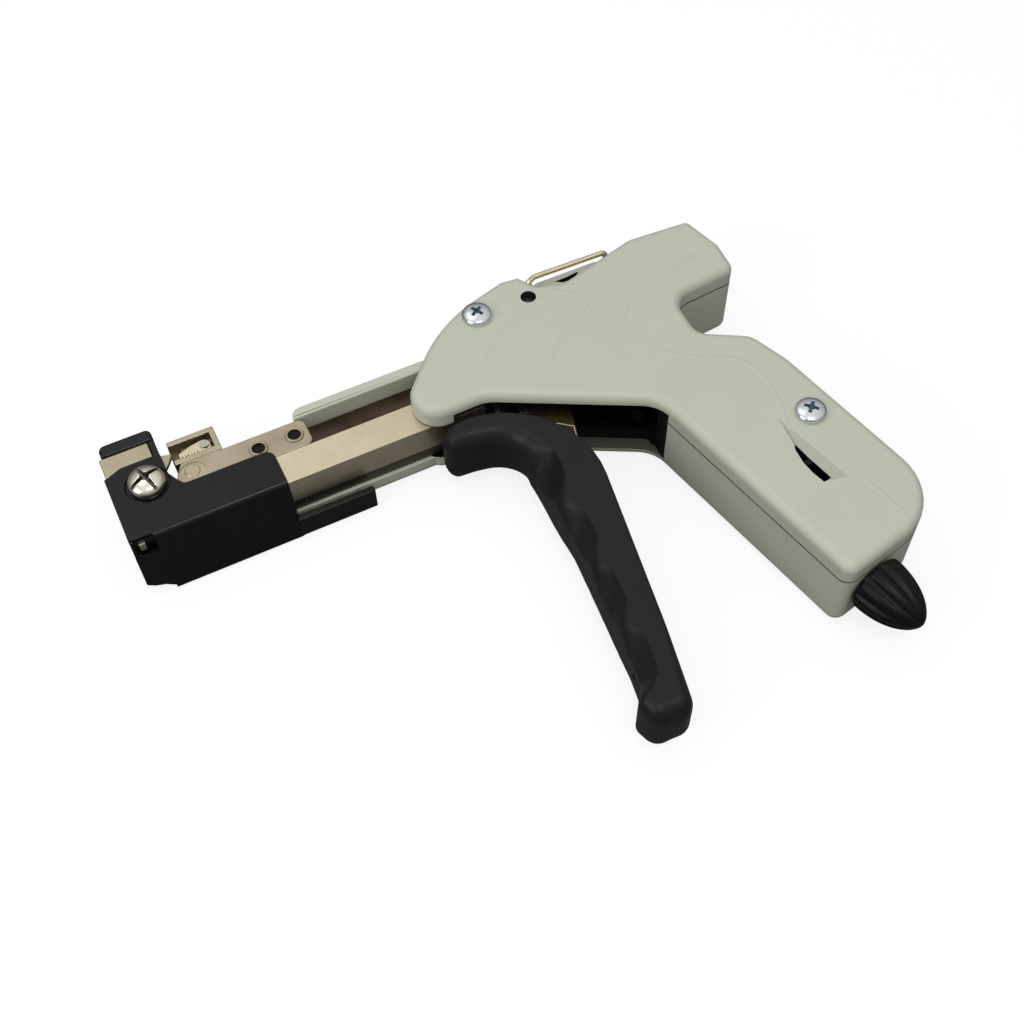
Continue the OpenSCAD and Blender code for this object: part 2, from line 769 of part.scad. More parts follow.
// Gripper carrier: side strip with two rimmed holes, and the folded box round the pawl
module gripper_carrier() {
    strip = [[strip_x, bar_mid_y + gap, cover_t], [strip_x + tip_l, bar_y, cover_t],
        [strip_back_x, bar_y, rim_back / 2], [strip_back_x, bar_high_y - seat, rim_back / 2],
        [strip_x + 0.8 * tip_l, bar_high_y - seat, cover_t]];
    color([0.84, 0.80, 0.72])
        difference() {
            union() {
                prism(outline(strip), strip_z, strip_top);
                block(carrier_x, bar_high_y + gap, bar_z, carrier_back_x, box_high_y, strip_top);
                block(carrier_x + tip_l / 2, bar_high_y - tip_l, strip_z, carrier_back_x,
                    bar_high_y + over, strip_top);
                for (at = carrier_screw_places)
                    post(at, rim_r, strip_top - over, strip_top + rim_h);
            }
            block(carrier_x - over, box_floor_y, bar_z + strip_t, carrier_back_x - strip_t,
                box_high_y - strip_t, part_z);
            for (at = carrier_screw_places)
                post(at, carrier_screw_r, 0, case_t);
            post(pawl_at, pawl_pin_r, 0, case_t);
        }
}

// Screws that hold the carrier to the bar
module carrier_screws() {
    color([0.50, 0.48, 0.44])
        for (at = carrier_screw_places)
            post(at, carrier_screw_r, bar_z, strip_top - rim_h);
}

// Toothed pawl that grips the tail of the tie
module gripper_pawl() {
    z1 = strip_z + room;
    tooth = pawl_l / 9;
    root = pawl_at - [pawl_l, 0];
    teeth = [for (k = [0 : 5]) each [[root[0] + k * tooth, pawl_at[1] - pawl_low],
        [root[0] + (k + 0.5) * tooth, pawl_at[1] - pawl_low + tooth / 2]]];
    color([0.86, 0.84, 0.78])
        difference() {
            union() {
                post(pawl_at, pawl_pin_r + pawl_wall, pawl_z, z1);
                prism(concat(teeth, [[pawl_at[0], pawl_at[1] - pawl_low], [pawl_at[0], pawl_at[1] + pawl_high],
                    [root[0], pawl_at[1] + pawl_high]]), pawl_z, z1);
            }
            post(pawl_at, pawl_pin_r + fit, 0, case_t);
        }
}

// Pivot pin of the pawl
module pawl_pin() {
    color([0.70, 0.68, 0.64])
        post(pawl_at, pawl_pin_r, bar_z, strip_top - rim_h);
}

// Flat spring behind the pawl
module pawl_spring() {
    y1 = box_high_y - strip_t;
    color([0.62, 0.60, 0.56])
        block(pawl_at[0] - leaf_l, y1 - leaf_t, pawl_z, carrier_back_x - strip_t, y1, pawl_z + leaf_w);
}

// Bell crank that the preset spring holds down until the tie is tight
module rocker() {
    color([0.45, 0.43, 0.40])
        difference() {
            union() {
                strap(rocker_at, rocker_up, rocker_r, rocker_z, rocker_z + rocker_t);
                strap(rocker_at, hook_at, rocker_r, rocker_z, rocker_z + rocker_t);
                post(rocker_at, rocker_hub_r, rocker_z, mid_z);
            }
            post(rocker_at, rocker_pin_r, 0, case_t);
            post(rocker_up, stud_r, 0, case_t);
            post(hook_at, stud_r, 0, case_t);
        }
}

// Studs on the rocker for the cutter link and for the hook of the spring
module rocker_studs() {
    color([0.70, 0.68, 0.64])
        union() {
            post(rocker_up, stud_r, rocker_z, cutter_z + gap);
            post(hook_at, stud_r, rocker_z, rod_z + rod_r);
        }
}

// Bar that pushes the blade forward inside the barrel
module cutter_bar() {
    color([0.50, 0.48, 0.44])
        difference() {
            block(cutter_x, cutter_low_y, cutter_z, cutter_back_x, cutter_high_y, cutter_top);
            post(cutter_pin_at, stud_r, 0, case_t);
        }
}

// Blade that cuts the tail of the tie flush behind the jaw
module cutter_blade() {
    color([0.86, 0.84, 0.80])
        prism([[blade_x, cutter_low_y], [cutter_x, cutter_low_y], [cutter_x, cutter_high_y],
            [blade_x + blade_l / 3, cutter_high_y]], cutter_z, cutter_top);
}

// Link from the rocker to the cutter bar
module cutter_link() {
    color([0.45, 0.43, 0.40])
        difference() {
            strap(cutter_pin_at, rocker_up, cutter_link_r, cutter_link_z, cutter_z);
            post(cutter_pin_at, stud_r, 0, case_t);
            post(rocker_up, stud_r + loose, 0, case_t);
        }
}

// Rivet that joins the cutter link to the cutter bar
module cutter_rivet() {
    color([0.70, 0.68, 0.64])
        post(cutter_pin_at, stud_r, cutter_link_z, cutter_top);
}

// Preset spring between the rocker and the tension nut, as its outer form with two hooks
module tension_spring() {
    color([0.62, 0.60, 0.56])
        difference() {
            union() {
                grip_rod(spring_r, spring_s, spring_end_s);
                grip_rod(hook_wire_r, hook_s + stud_r, spring_s + over);
            }
            grip_rod(spring_r - spring_wire, spring_s + 2 * spring_wire, spring_end_s + over);
        }
}

// Nut that the rod draws along the handle, with the pointer that shows in the slot
module tension_nut() {
    s0 = nut_s - nut_l / 2;
    a = in_grip(s0, rod_t - nut_w / 2);
    b = in_grip(s0 + nut_l, rod_t - nut_w / 2);
    at = in_grip(nut_s, slot_t);
    color([0.55, 0.53, 0.48])
        difference() {
            union() {
                prism([a, b, b + nut_w * across, a + nut_w * across], nut_base_z, nut_base_z + nut_w);
                post(at, pointer_r, nut_base_z + nut_w - over, case_t - wall / 3);
            }
            grip_rod(rod_r + fit, s0 - over, s0 + nut_l + over);
        }
}

// Rod that the knob turns and the nut runs on
module tension_rod() {
    color([0.70, 0.68, 0.64])
        grip_rod(rod_r, spring_end_s - nut_l / 2, handle_l + knob_l / 2);
}

// Clip that keeps the rod from being drawn out of its bush
module rod_clip() {
    s1 = bush_s - gap;
    color([0.30, 0.30, 0.32])
        difference() {
            grip_rod(rod_r + clip_w, s1 - clip_t, s1);
            grip_rod(rod_r, s1 - clip_t - over, s1 + over);
        }
}

// Fluted knob at the foot of the handle
module knob() {
    r = knob_dia / 2;
    flutes = 10;
    s0 = handle_l + 2 * gap;
    form_shares = [[0, 0], [0.9, 0], [1, 0.06], [1, 0.2], [0.95, 0.4], [0.83, 0.6],
        [0.67, 0.76], [0.47, 0.89], [0.25, 0.97], [0, 1]];
    color([0.12, 0.10, 0.09])
        translate([in_grip(s0, rod_t)[0], in_grip(s0, rod_t)[1], rod_z])
            rotate([90, 0, lean])
                difference() {
                    rotate_extrude()
                        polygon([for (p = form_shares) [p[0] * r, p[1] * knob_l]]);
                    for (k = [0 : flutes - 1])
                        rotate([0, 0, 360 / flutes * k])
                            translate([1.12 * r, 0, -over])
                                cylinder(r = 0.19 * r, h = knob_l + 2 * over);
                    translate([0, 0, -over])
                        cylinder(r = rod_r, h = knob_l / 2 + over - 2 * gap);
                }
}

// Points of a wire with its corners rounded: first point, bends of a given radius, last point
function bent(pts, r) = concat([pts[0]],
    [for (i = [1 : len(pts) - 2]) let(
        d1 = dir(pts[i - 1], pts[i]),
        d2 = dir(pts[i], pts[i + 1]),
        half = acos(d1 * d2) / 2,
        start = pts[i] - r * tan(half) * d1,
        in = (d2 - d1) / norm(d2 - d1),
        hub = pts[i] + r / cos(half) * in)
        each [for (k = [0 : corner_steps]) let(a = half * (2 * k / corner_steps - 1))
            hub + r * (sin(a) * cross(cross(d1, d2) / norm(cross(d1, d2)), -in) - cos(a) * in)]],
    [pts[len(pts) - 1]]);

// Normals carried along a wire, so that its rings don't twist
function carried(ts, n, i = 0) = i == len(ts) ? [] : let(
    m = n - (n * ts[i]) * ts[i],
    u = m / norm(m))
    concat([u], carried(ts, u, i + 1));

// Round wire along a list of points
module wire(pts, r, first) {
    last = len(pts) - 1;
    ts = [for (i = [0 : last]) dir(pts[max(i - 1, 0)], pts[min(i + 1, last)])];
    ns = carried(ts, first);
    sides = 12;
    polyhedron(
        points = [for (i = [0 : last]) each [for (j = [0 : sides - 1]) let(a = 360 * j / sides)
            pts[i] + r * (cos(a) * ns[i] + sin(a) * cross(ts[i], ns[i]))]],
        faces = concat(
            [[for (j = [0 : sides - 1]) j]],
            [for (i = [0 : last - 1]) each [for (j = [0 : sides - 1]) let(k = (j + 1) % sides)
                each [[i * sides + k, i * sides + j, (i + 1) * sides + j],
                    [i * sides + k, (i + 1) * sides + j, (i + 1) * sides + k]]]],
            [[for (j = [sides - 1 : -1 : 0]) last * sides + j]]));
}

// Wire bail to hang the tool by, folded down along the top
module bail() {
    lift = wire_dia;
    foot = lug_top - lug_z;
    knee = bail_at + [2 * lift, lift];
    end = [bail_at[0] + bail_l, bail_at[1] + 2 * lift / 3];
    path = [concat(bail_at, [lug_z + foot / 3]), concat(bail_at, [leg_far_z]), concat(knee, [leg_far_z]),
        concat(end, [leg_far_z]), concat(end, [leg_near_z]), concat(knee, [leg_near_z]),
        concat(bail_at, [leg_near_z]), concat(bail_at, [lug_top - foot / 3])];
    color([0.78, 0.72, 0.60])
        wire(bent(path, wire_dia), wire_r, [1, 0, 0]);
}

near_shell();
far_shell();
shell_screws();
frame_plate();
barrel();
barrel_pins();
front_jaw();
jaw_cap();
nose_cover();
nose_screw();
trigger_pin();
rocker_pin();
rod_bush();
return_spring();
trigger();
trigger_arms();
trigger_rivets();
link_pin();
drive_link();
slide_pin();
tension_bar();
gripper_carrier();
carrier_screws();
gripper_pawl();
pawl_pin();
pawl_spring();
rocker();
rocker_studs();
cutter_bar();
cutter_blade();
cutter_link();
cutter_rivet();
tension_spring();
tension_nut();
tension_rod();
rod_clip();
knob();
bail();
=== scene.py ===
"""Looks of the cable tie tensioning tool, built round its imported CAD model.

Shapes are written in millimetres in the CAD frame and scaled to metres once, in make().
A "skin" is a pair (corners, faces). A corner list is a closed outline run counter-clockwise,
each corner with the radius it is rounded to: (x, y, radius).
"""

import math

import bmesh
import bpy
from mathutils import Matrix, Vector


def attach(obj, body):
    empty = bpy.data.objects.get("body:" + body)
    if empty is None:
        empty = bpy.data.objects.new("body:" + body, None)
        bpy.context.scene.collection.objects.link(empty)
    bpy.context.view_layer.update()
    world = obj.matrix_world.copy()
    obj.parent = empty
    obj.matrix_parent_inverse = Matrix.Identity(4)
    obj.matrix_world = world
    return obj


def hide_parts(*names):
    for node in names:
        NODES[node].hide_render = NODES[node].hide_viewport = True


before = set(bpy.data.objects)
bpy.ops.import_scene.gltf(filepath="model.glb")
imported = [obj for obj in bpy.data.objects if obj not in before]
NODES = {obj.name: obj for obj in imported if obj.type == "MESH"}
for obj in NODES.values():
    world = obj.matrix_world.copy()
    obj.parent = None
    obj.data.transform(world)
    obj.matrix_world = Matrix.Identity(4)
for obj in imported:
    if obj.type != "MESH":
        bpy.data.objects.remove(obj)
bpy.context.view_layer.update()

MM = 0.001

# ---------------------------------------------------------------- materials


def lin(r, g, b):
    """Linear colour of an 8-bit sRGB one."""

    def one(c):
        c /= 255
        return c / 12.92 if c <= 0.04045 else ((c + 0.055) / 1.055) ** 2.4

    return (one(r), one(g), one(b), 1.0)


def shader(name):
    """New material, with its node tree and its shader."""
    m = bpy.data.materials.new(name)
    m.use_nodes = True
    return m, m.node_tree, m.node_tree.nodes["Principled BSDF"]


def noise(nt, scale, detail, stretch=(1, 1, 1)):
    """Noise in the piece's own metres; scale is in features per metre."""
    place = nt.nodes.new("ShaderNodeTexCoord")
    mapped = nt.nodes.new("ShaderNodeMapping")
    mapped.inputs["Scale"].default_value = stretch
    tex = nt.nodes.new("ShaderNodeTexNoise")
    tex.inputs["Scale"].default_value = scale
    tex.inputs["Detail"].default_value = detail
    nt.links.new(place.outputs["Object"], mapped.inputs["Vector"])
    nt.links.new(mapped.outputs["Vector"], tex.inputs["Vector"])
    return tex.outputs["Fac"]


# most of a noise's values lie between these two
NOISE_LOW, NOISE_HIGH = 0.3, 0.7


def spread(nt, fac, low, high):
    """A noise as a number between low and high."""
    n = nt.nodes.new("ShaderNodeMapRange")
    n.inputs["From Min"].default_value = NOISE_LOW
    n.inputs["From Max"].default_value = NOISE_HIGH
    n.inputs["To Min"].default_value = low
    n.inputs["To Max"].default_value = high
    nt.links.new(fac, n.inputs["Value"])
    return n.outputs["Result"]


def ramp(nt, fac, first, last):
    """A noise as a colour between first and last."""
    n = nt.nodes.new("ShaderNodeValToRGB")
    n.color_ramp.elements[0].position = NOISE_LOW
    n.color_ramp.elements[1].position = NOISE_HIGH
    n.color_ramp.elements[0].color = first
    n.color_ramp.elements[1].color = last
    nt.links.new(fac, n.inputs["Fac"])
    return n.outputs["Color"]


def bump(nt, bsdf, height, depth, strength, under=None):
    """Relief of a noise, depth millimetres high, on top of the relief under it."""
    n = nt.nodes.new("ShaderNodeBump")
    n.inputs["Strength"].default_value = strength
    n.inputs["Distance"].default_value = depth * MM
    nt.links.new(height, n.inputs["Height"])
    if under is not None:
        nt.links.new(under, n.inputs["Normal"])
    nt.links.new(n.outputs["Normal"], bsdf.inputs["Normal"])
    return n.outputs["Normal"]


def times(colour, k):
    """Colour made k times as light."""
    return tuple(min(1.0, c * k) for c in colour[:3]) + (1.0,)


def plastic(name, colour, rough, grain, depth, mottle, specular):
    """Moulded plastic: slow colour drift, fine moulded grain and uneven gloss.

    grain and depth are its size and height in millimetres, mottle is the share of colour drift.
    """
    m, nt, b = shader(name)
    drift = noise(nt, 70, 3)
    nt.links.new(
        ramp(nt, drift, times(colour, 1 - mottle), times(colour, 1 + mottle)),
        b.inputs["Base Color"],
    )
    fine = noise(nt, 1000 / grain, 2)
    slow = noise(nt, 240, 2)
    nt.links.new(spread(nt, slow, rough - 0.04, rough + 0.05), b.inputs["Roughness"])
    under = bump(nt, b, slow, depth * 2, 0.25)
    bump(nt, b, fine, depth, 0.5, under)
    b.inputs["Specular IOR Level"].default_value = specular
    return m


EVEN = (1, 1, 1)  # a metal's grain with no direction


def metal(name, colour, rough, brush, lines, depth, stain=0.85, bumped=0.5):
    """Steel with brushed or rolled lines and faint stains.

    The lines run along the axis where brush is small. lines is how many there are in a metre,
    stain is the darkest stain's share of the colour and bumped the strength of the relief.
    """
    m, nt, b = shader(name)
    b.inputs["Metallic"].default_value = 1.0
    cloud = noise(nt, 160, 4)
    streak = noise(nt, lines, 3, brush)
    nt.links.new(ramp(nt, cloud, times(colour, stain), colour), b.inputs["Base Color"])
    nt.links.new(spread(nt, streak, rough - 0.07, rough + 0.1), b.inputs["Roughness"])
    bump(nt, b, streak, depth, bumped)
    return m


# plastics: colour, roughness, grain, depth, mottle, specular
# metals: colour, roughness, brush, lines, depth, stain, bumped
HOUSING = plastic("housing_paint_grey_green", lin(189, 192, 175), 0.36, 0.5, 0.012, 0.012, 0.42)
# painted shade: near-black for the cut faces of cavities, openings, slots and holes, standing in for
# the shade inside them; the real inner walls are the same plastic as the outer ones
INSIDE_SHADE = plastic("housing_inside_painted_shade", lin(16, 15, 15), 0.6, 0.5, 0.02, 0.1, 0.2)
# painted shade: the housing's grey-green made darker for the sloping hollow beside the indicator slot
SCOOP_SHADE = plastic("housing_scoop_painted_shade", lin(170, 173, 157), 0.42, 0.5, 0.012, 0.012, 0.42)
# painted shade: dark grey-green for the inner edge and floor along the trigger's opening, which lie in
# shade
LIP_SHADE = plastic("housing_lip_painted_shade", lin(84, 84, 75), 0.45, 0.5, 0.012, 0.03, 0.3)
# painted shade: dark colour of the recessed parting-line band, for the shade in the groove between the
# two shells
SEAM_SHADE = plastic("housing_parting_line_painted_shade", lin(58, 56, 50), 0.6, 0.5, 0.01, 0.1, 0.2)
TRIGGER = plastic("trigger_black_grain", lin(29, 27, 27), 0.4, 0.3, 0.02, 0.06, 0.2)
COVER = plastic("cover_black_satin", lin(14, 12, 15), 0.27, 0.25, 0.004, 0.05, 0.24)
CAP = plastic("cap_black_gloss", lin(13, 14, 16), 0.2, 0.4, 0.006, 0.05, 0.25)
KNOB = plastic("knob_black_satin", lin(16, 13, 11), 0.36, 0.4, 0.015, 0.08, 0.16)
NICKEL = metal("nickel_brushed", lin(220, 208, 180), 0.38, (0.25, 1, 1), 3600, 0.0025, 0.9, 0.3)
NICKEL_PLATE = metal("nickel_plate_bright", lin(186, 176, 149), 0.38, EVEN, 2600, 0.004, 0.85, 0.4)
STRIP = metal("nickel_strip_mottled", lin(188, 174, 151), 0.4, EVEN, 2200, 0.008, 0.8, 0.5)
SCREW = metal("screw_bright_nickel", lin(240, 232, 216), 0.14, EVEN, 900, 0.003, 0.94, 0.25)
ZINC = metal("screw_bright_zinc", lin(222, 226, 230), 0.16, EVEN, 900, 0.003, 0.92, 0.25)
# painted shade: a darker blue-tinted colour for the shell screws' cross recesses, for the shade inside
# them
RECESS_SHADE = plastic("screw_recess_painted_shade_blue", lin(62, 92, 108), 0.4, 0.3, 0.004, 0.2, 0.8)
# near-black steel; on the rocker and its pin it is painted shade inside the opening
BLACKENED_AND_SHADE = metal("steel_blackened_and_painted_shade", lin(44, 42, 40), 0.45, EVEN, 2000, 0.006)
BRONZE = metal("bush_bronze_dark", lin(84, 68, 46), 0.4, (1, 1, 0.05), 2600, 0.004)
# dark oiled steel of the frame, links and cutter bar; also painted shade on the cut faces of the nose
# screw's recess, the pawl's teeth and the jaw's pocket
DARK_STEEL_AND_SHADE = metal("steel_dark_oiled_and_painted_shade", lin(112, 110, 100), 0.42, (0.05, 1, 1), 2200, 0.008)
BROWN = metal("steel_browned", lin(92, 77, 63), 0.36, (0.08, 1, 1), 1100, 0.008, 0.55)
PLATE = metal("steel_arm_plate", lin(66, 57, 40), 0.45, (1, 0.2, 1), 2200, 0.004, 0.75)
PIN = metal("steel_ground_pin", lin(186, 182, 172), 0.22, (1, 1, 0.05), 2600, 0.004)
SPRING = metal("steel_drawn_spring", lin(170, 166, 158), 0.28, EVEN, 2600, 0.004)
WIRE = metal("wire_plated_warm", lin(236, 220, 184), 0.2, EVEN, 1400, 0.003, 0.85)

# ---------------------------------------------------------------- outlines


def sub(a, b):
    return (a[0] - b[0], a[1] - b[1])


def unit(v):
    n = math.hypot(*v)
    return (v[0] / n, v[1] / n)


def left(v):
    return (-v[1], v[0])


def cross(a, b):
    return a[0] * b[1] - a[1] * b[0]


SMALLEST_RADIUS = 0.3


def inset(pts, d):
    """Corner list moved inwards by d, with its radii kept concentric."""
    out, n = [], len(pts)
    for i, c in enumerate(pts):
        a, b = unit(sub(c, pts[i - 1])), unit(sub(pts[(i + 1) % n], c))
        n1, n2 = left(a), left(b)
        k = d / (1 + n1[0] * n2[0] + n1[1] * n2[1])
        side = 1 if cross(a, b) > 0 else -1
        radius = max(c[2] - side * d, SMALLEST_RADIUS)
        out.append((c[0] + k * (n1[0] + n2[0]), c[1] + k * (n1[1] + n2[1]), radius))
    return out


def outline(pts, steps):
    """Points of a corner list, with every corner rounded to its own radius."""
    out, n = [], len(pts)
    for i, c in enumerate(pts):
        a, b = unit(sub(c, pts[i - 1])), unit(sub(pts[(i + 1) % n], c))
        turn = math.atan2(cross(a, b), a[0] * b[0] + a[1] * b[1])
        r, s = c[2], 1 if turn > 0 else -1
        t = r * math.tan(abs(turn) / 2)
        start = (c[0] - a[0] * t, c[1] - a[1] * t)
        hub = (start[0] + s * r * left(a)[0], start[1] + s * r * left(a)[1])
        v = sub(start, hub)
        for k in range(steps + 1):
            w = turn * k / steps
            x = hub[0] + v[0] * math.cos(w) - v[1] * math.sin(w)
            y = hub[1] + v[0] * math.sin(w) + v[1] * math.cos(w)
            out.append((x, y))
    return out


def smooth(points, gap=0.8):
    """Points along a soft curve through a few given ones, about gap apart."""
    pts = [Vector(p) for p in points]
    out = []
    for i in range(len(pts) - 1):
        a, b = pts[max(i - 1, 0)], pts[i]
        c, d = pts[i + 1], pts[min(i + 2, len(pts) - 1)]
        n = max(2, round((c - b).length / gap))
        for k in range(n):
            t = k / n
            square, cube = (2 * a - 5 * b + 4 * c - d) * t * t, (3 * b - a - 3 * c + d) * t**3
            out.append(0.5 * ((2 * b) + (c - a) * t + square + cube))
    return out + [pts[-1]]


# ---------------------------------------------------------------- meshes


def loft(rings, caps=True):
    """Corners and faces of a skin over rings with the same number of points."""
    n = len(rings[0])
    faces = [
        (i * n + j, i * n + (j + 1) % n, (i + 1) * n + (j + 1) % n, (i + 1) * n + j)
        for i in range(len(rings) - 1)
        for j in range(n)
    ]
    if caps:
        faces += [tuple(reversed(range(n))), tuple((len(rings) - 1) * n + j for j in range(n))]
    return [tuple(p) for ring in rings for p in ring], faces


def edges(z0, z1, r0, r1, steps=6):
    """(inset, height) levels of a slab with its lower and upper edge rounded."""
    quarter = [math.pi / 2 * k / steps for k in range(steps + 1)]
    low = high = None
    if r0:
        low = [(r0 * (1 - math.sin(a)), z0 + r0 * (1 - math.cos(a))) for a in quarter]
    if r1:
        high = [(r1 * (1 - math.cos(a)), z1 - r1 * (1 - math.sin(a))) for a in quarter]
    return (low or [(0, z0)]) + (high or [(0, z1)])


def slab(pts, levels, steps=10):
    """Slab of a corner list through (inset, height) levels."""
    return loft([[(x, y, z) for x, y in outline(inset(pts, d), steps)] for d, z in levels])


def prism(pts, z0, z1):
    """Plain body over an outline without radii."""
    return loft([[(p[0], p[1], z) for p in pts] for z in (z0, z1)])


def brick(x0, y0, z0, x1, y1, z1, r=0.25):
    """Box between two corners with all its edges rounded."""
    pts = [(x0, y0, r), (x1, y0, r), (x1, y1, r), (x0, y1, r)]
    return slab(pts, edges(z0, z1, r, r, 3), 3)


SHARP_TIP = 0.002  # radius of a turned body's tip


def lathe(profile, at=(0, 0), sides=48, wave=None, caps=True):
    """Body turned round an upright axis from (radius, height) pairs.

    wave gives a factor on the radius by angle and height.
    """
    rings = []
    for r, z in profile:
        ring = []
        for k in range(sides):
            a = 2 * math.pi * k / sides
            q = max(r * (wave(a, z) if wave else 1), SHARP_TIP)
            ring.append((at[0] + q * math.cos(a), at[1] + q * math.sin(a), z))
        rings.append(ring)
    return loft(rings, caps)


def rod(a, b, r, sides=32):
    """Plain round rod from a to b, for cutting holes."""
    a, b = Vector(a), Vector(b)
    q = (b - a).to_track_quat("Z", "Y")
    angles = [2 * math.pi * k / sides for k in range(sides)]
    circle = [Vector((r * math.cos(w), r * math.sin(w), 0)) for w in angles]
    return loft([[p + q @ c for c in circle] for p in (a, b)])


def wire(points, r, sides=16):
    """Round wire along points, with rounded ends."""
    pts = [Vector(p) for p in points]
    angles = [2 * math.pi * k / sides for k in range(sides)]
    rings, normal = [], None
    last = len(pts) - 1
    for i, p in enumerate(pts):
        t = (pts[min(i + 1, last)] - pts[max(i - 1, 0)]).normalized()
        if normal is None:
            normal = t.orthogonal()
        normal = (normal - t * normal.dot(t)).normalized()
        other = t.cross(normal)
        ring = [p + r * (math.cos(a) * normal + math.sin(a) * other) for a in angles]
        if i in (0, last):
            s = -1 if i == 0 else 1
            tips = [(math.cos(w), math.sin(w)) for w in (math.pi / 2 * k / 4 for k in range(5))]
            more = [[p + (q - p) * max(c, 0.02) + s * t * r * h for q in ring] for c, h in tips]
            rings += more[::-1] if i == 0 else more
        else:
            rings.append(ring)
    return loft(rings)


def moved(skin, matrix):
    return [tuple(matrix @ Vector(p)) for p in skin[0]], skin[1]


SAME_POINT = 1e-7  # metres


def make(name, parts, material):
    """Object from several skins given in millimetres."""
    corners, faces = [], []
    for v, f in parts:
        faces += [tuple(i + len(corners) for i in face) for face in f]
        corners += [(p[0] * MM, p[1] * MM, p[2] * MM) for p in v]
    mesh = bpy.data.meshes.new(name)
    mesh.from_pydata(corners, [], faces)
    bm = bmesh.new()
    bm.from_mesh(mesh)
    bmesh.ops.remove_doubles(bm, verts=bm.verts, dist=SAME_POINT)
    bmesh.ops.recalc_face_normals(bm, faces=bm.faces)
    bm.to_mesh(mesh)
    bm.free()
    mesh.materials.append(material)
    ob = bpy.data.objects.new(name, mesh)
    bpy.context.scene.collection.objects.link(ob)
    return ob


def bake(ob):
    """Applies the object's modifiers to its mesh."""
    bpy.context.view_layer.update()
    made = ob.evaluated_get(bpy.context.evaluated_depsgraph_get())
    mesh = bpy.data.meshes.new_from_object(made)
    old = ob.data
    ob.modifiers.clear()
    ob.data = mesh
    bpy.data.meshes.remove(old)


def cut(ob, parts, material, keep=False):
    """Cuts parts out of ob one by one, or keeps only what lies in them.

    The cut faces take material.
    """
    for part in parts:
        tool = make("tool", [part], material)
        m = ob.modifiers.new("cut", "BOOLEAN")
        m.operation = "INTERSECT" if keep else "DIFFERENCE"
        m.solver = "MANIFOLD"
        m.material_mode = "TRANSFER"
        m.object = tool
        bake(ob)
        bpy.data.objects.remove(tool)
    return ob


def joined(a, b):
    """Mesh of b added to a, without a cut."""
    for m in b.data.materials:
        if m.name not in a.data.materials:
            a.data.materials.append(m)
    slots = [a.data.materials.find(m.name) for m in b.data.materials]
    bm = bmesh.new()
    bm.from_mesh(a.data)
    n = len(bm.faces)
    bm.from_mesh(b.data)
    bm.faces.ensure_lookup_table()
    for f in bm.faces[n:]:
        f.material_index = slots[f.material_index]
    bm.to_mesh(a.data)
    bm.free()
    bpy.data.objects.remove(b)
    return a


def break_edges(ob, width, angle):
    """Small rounding on the edges that are sharper than angle."""
    m = ob.modifiers.new("edge", "BEVEL")
    m.width = width * MM
    m.segments = 2
    m.limit_method = "ANGLE"
    m.angle_limit = math.radians(angle)


def dress(ob, body, nodes, angle=32, bevel=0.0):
    """Smooth shading with sharp edges kept, and the piece's place in the frame."""
    if bevel:
        break_edges(ob, bevel, 40)
        bake(ob)
    ob.data.shade_smooth()
    ob.data.set_sharp_from_angle(angle=math.radians(angle))
    w = ob.modifiers.new("normals", "WEIGHTED_NORMAL")
    w.keep_sharp = True
    w.weight = 80
    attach(ob, body)
    if nodes:
        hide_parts(*nodes)


# ---------------------------------------------------------------- sizes, as in the CAD source

BODY_L, BODY_H = 97, 55
HANDLE_L, HANDLE_D = 66, 35
TRIGGER_L = 122
WALL, TOP, PART = 2.2, 24, 18  # the housing's wall, its height and its parting line
EDGE_R = 2.5
RAIL_TOP = 5.2
MOUTH_LOW, MOUTH_HIGH = 3, 21  # the trigger's opening

LEAN = math.radians(11.9)
DOWN = (math.sin(LEAN), -math.cos(LEAN))
ACROSS = (math.cos(LEAN), math.sin(LEAN))
CHIN = (13.677, -45.98)  # the handle's place is counted from here


def in_grip(s, t):
    """Place s along the handle and t across it."""
    return (CHIN[0] + s * DOWN[0] + t * ACROSS[0], CHIN[1] + s * DOWN[1] + t * ACROSS[1])


ROD_T, ROD_Z = 9.695, 12  # the tension rod's axis, across the handle and up
BAIL_AT = (3.007, 7.205)
BAIL_LUG_R = 2.3
SHELL_SCREWS = [(-15, 0), in_grip(26.6, 26.25)]
NOSE_SCREW = (-109.18, -9)
RIMS = [(-80.8, -10.1), (-71.2, -10.1)]


def shell_corners():
    """Corner list of the housing: belly, handle and back."""
    belly = [(-0.429, -0.46, 0.118), (-0.253, -0.453, 0.182), (0.141, -0.836, 0.164)]
    grip = [(1, 0, 0.09), (1, 0.979, 0.46), (0.15, 1, 0.7)]
    back = [(0.474, -0.684, 0.109), (0.351, -0.555, 0.091), (0.356, -0.309, 0.109),
            (0.563, -0.28, 0.055), (0.571, -0.1, 0.073), (0.54, 0.116, 0.04),
            (0.354, 0.138, 0.145), (0.115, 0.024, 0.073), (0.041, 0.065, 0.036),
            (0.012, 0.158, 0.022), (-0.042, 0.167, 0.055), (-0.256, 0.06, 0.818),
            (-0.429, -0.276, 0.127)]
    out = [(x * BODY_L, y * BODY_H, r * BODY_H) for x, y, r in belly]
    out += [in_grip(s * HANDLE_L, t * HANDLE_D) + (r * HANDLE_D,) for s, t, r in grip]
    return out + [(x * BODY_L, y * BODY_H, r * BODY_H) for x, y, r in back]


SHELL = shell_corners()
CAVITY = outline(inset(SHELL, WALL), 6)
MOUTH = prism([(-33.6, -92), (14.47, -92), (14.47, -20.5), (-33.6, -20.5)], MOUTH_LOW, MOUTH_HIGH)

# ---------------------------------------------------------------- housing

SEAM_D = 0.3  # depth of the parting line


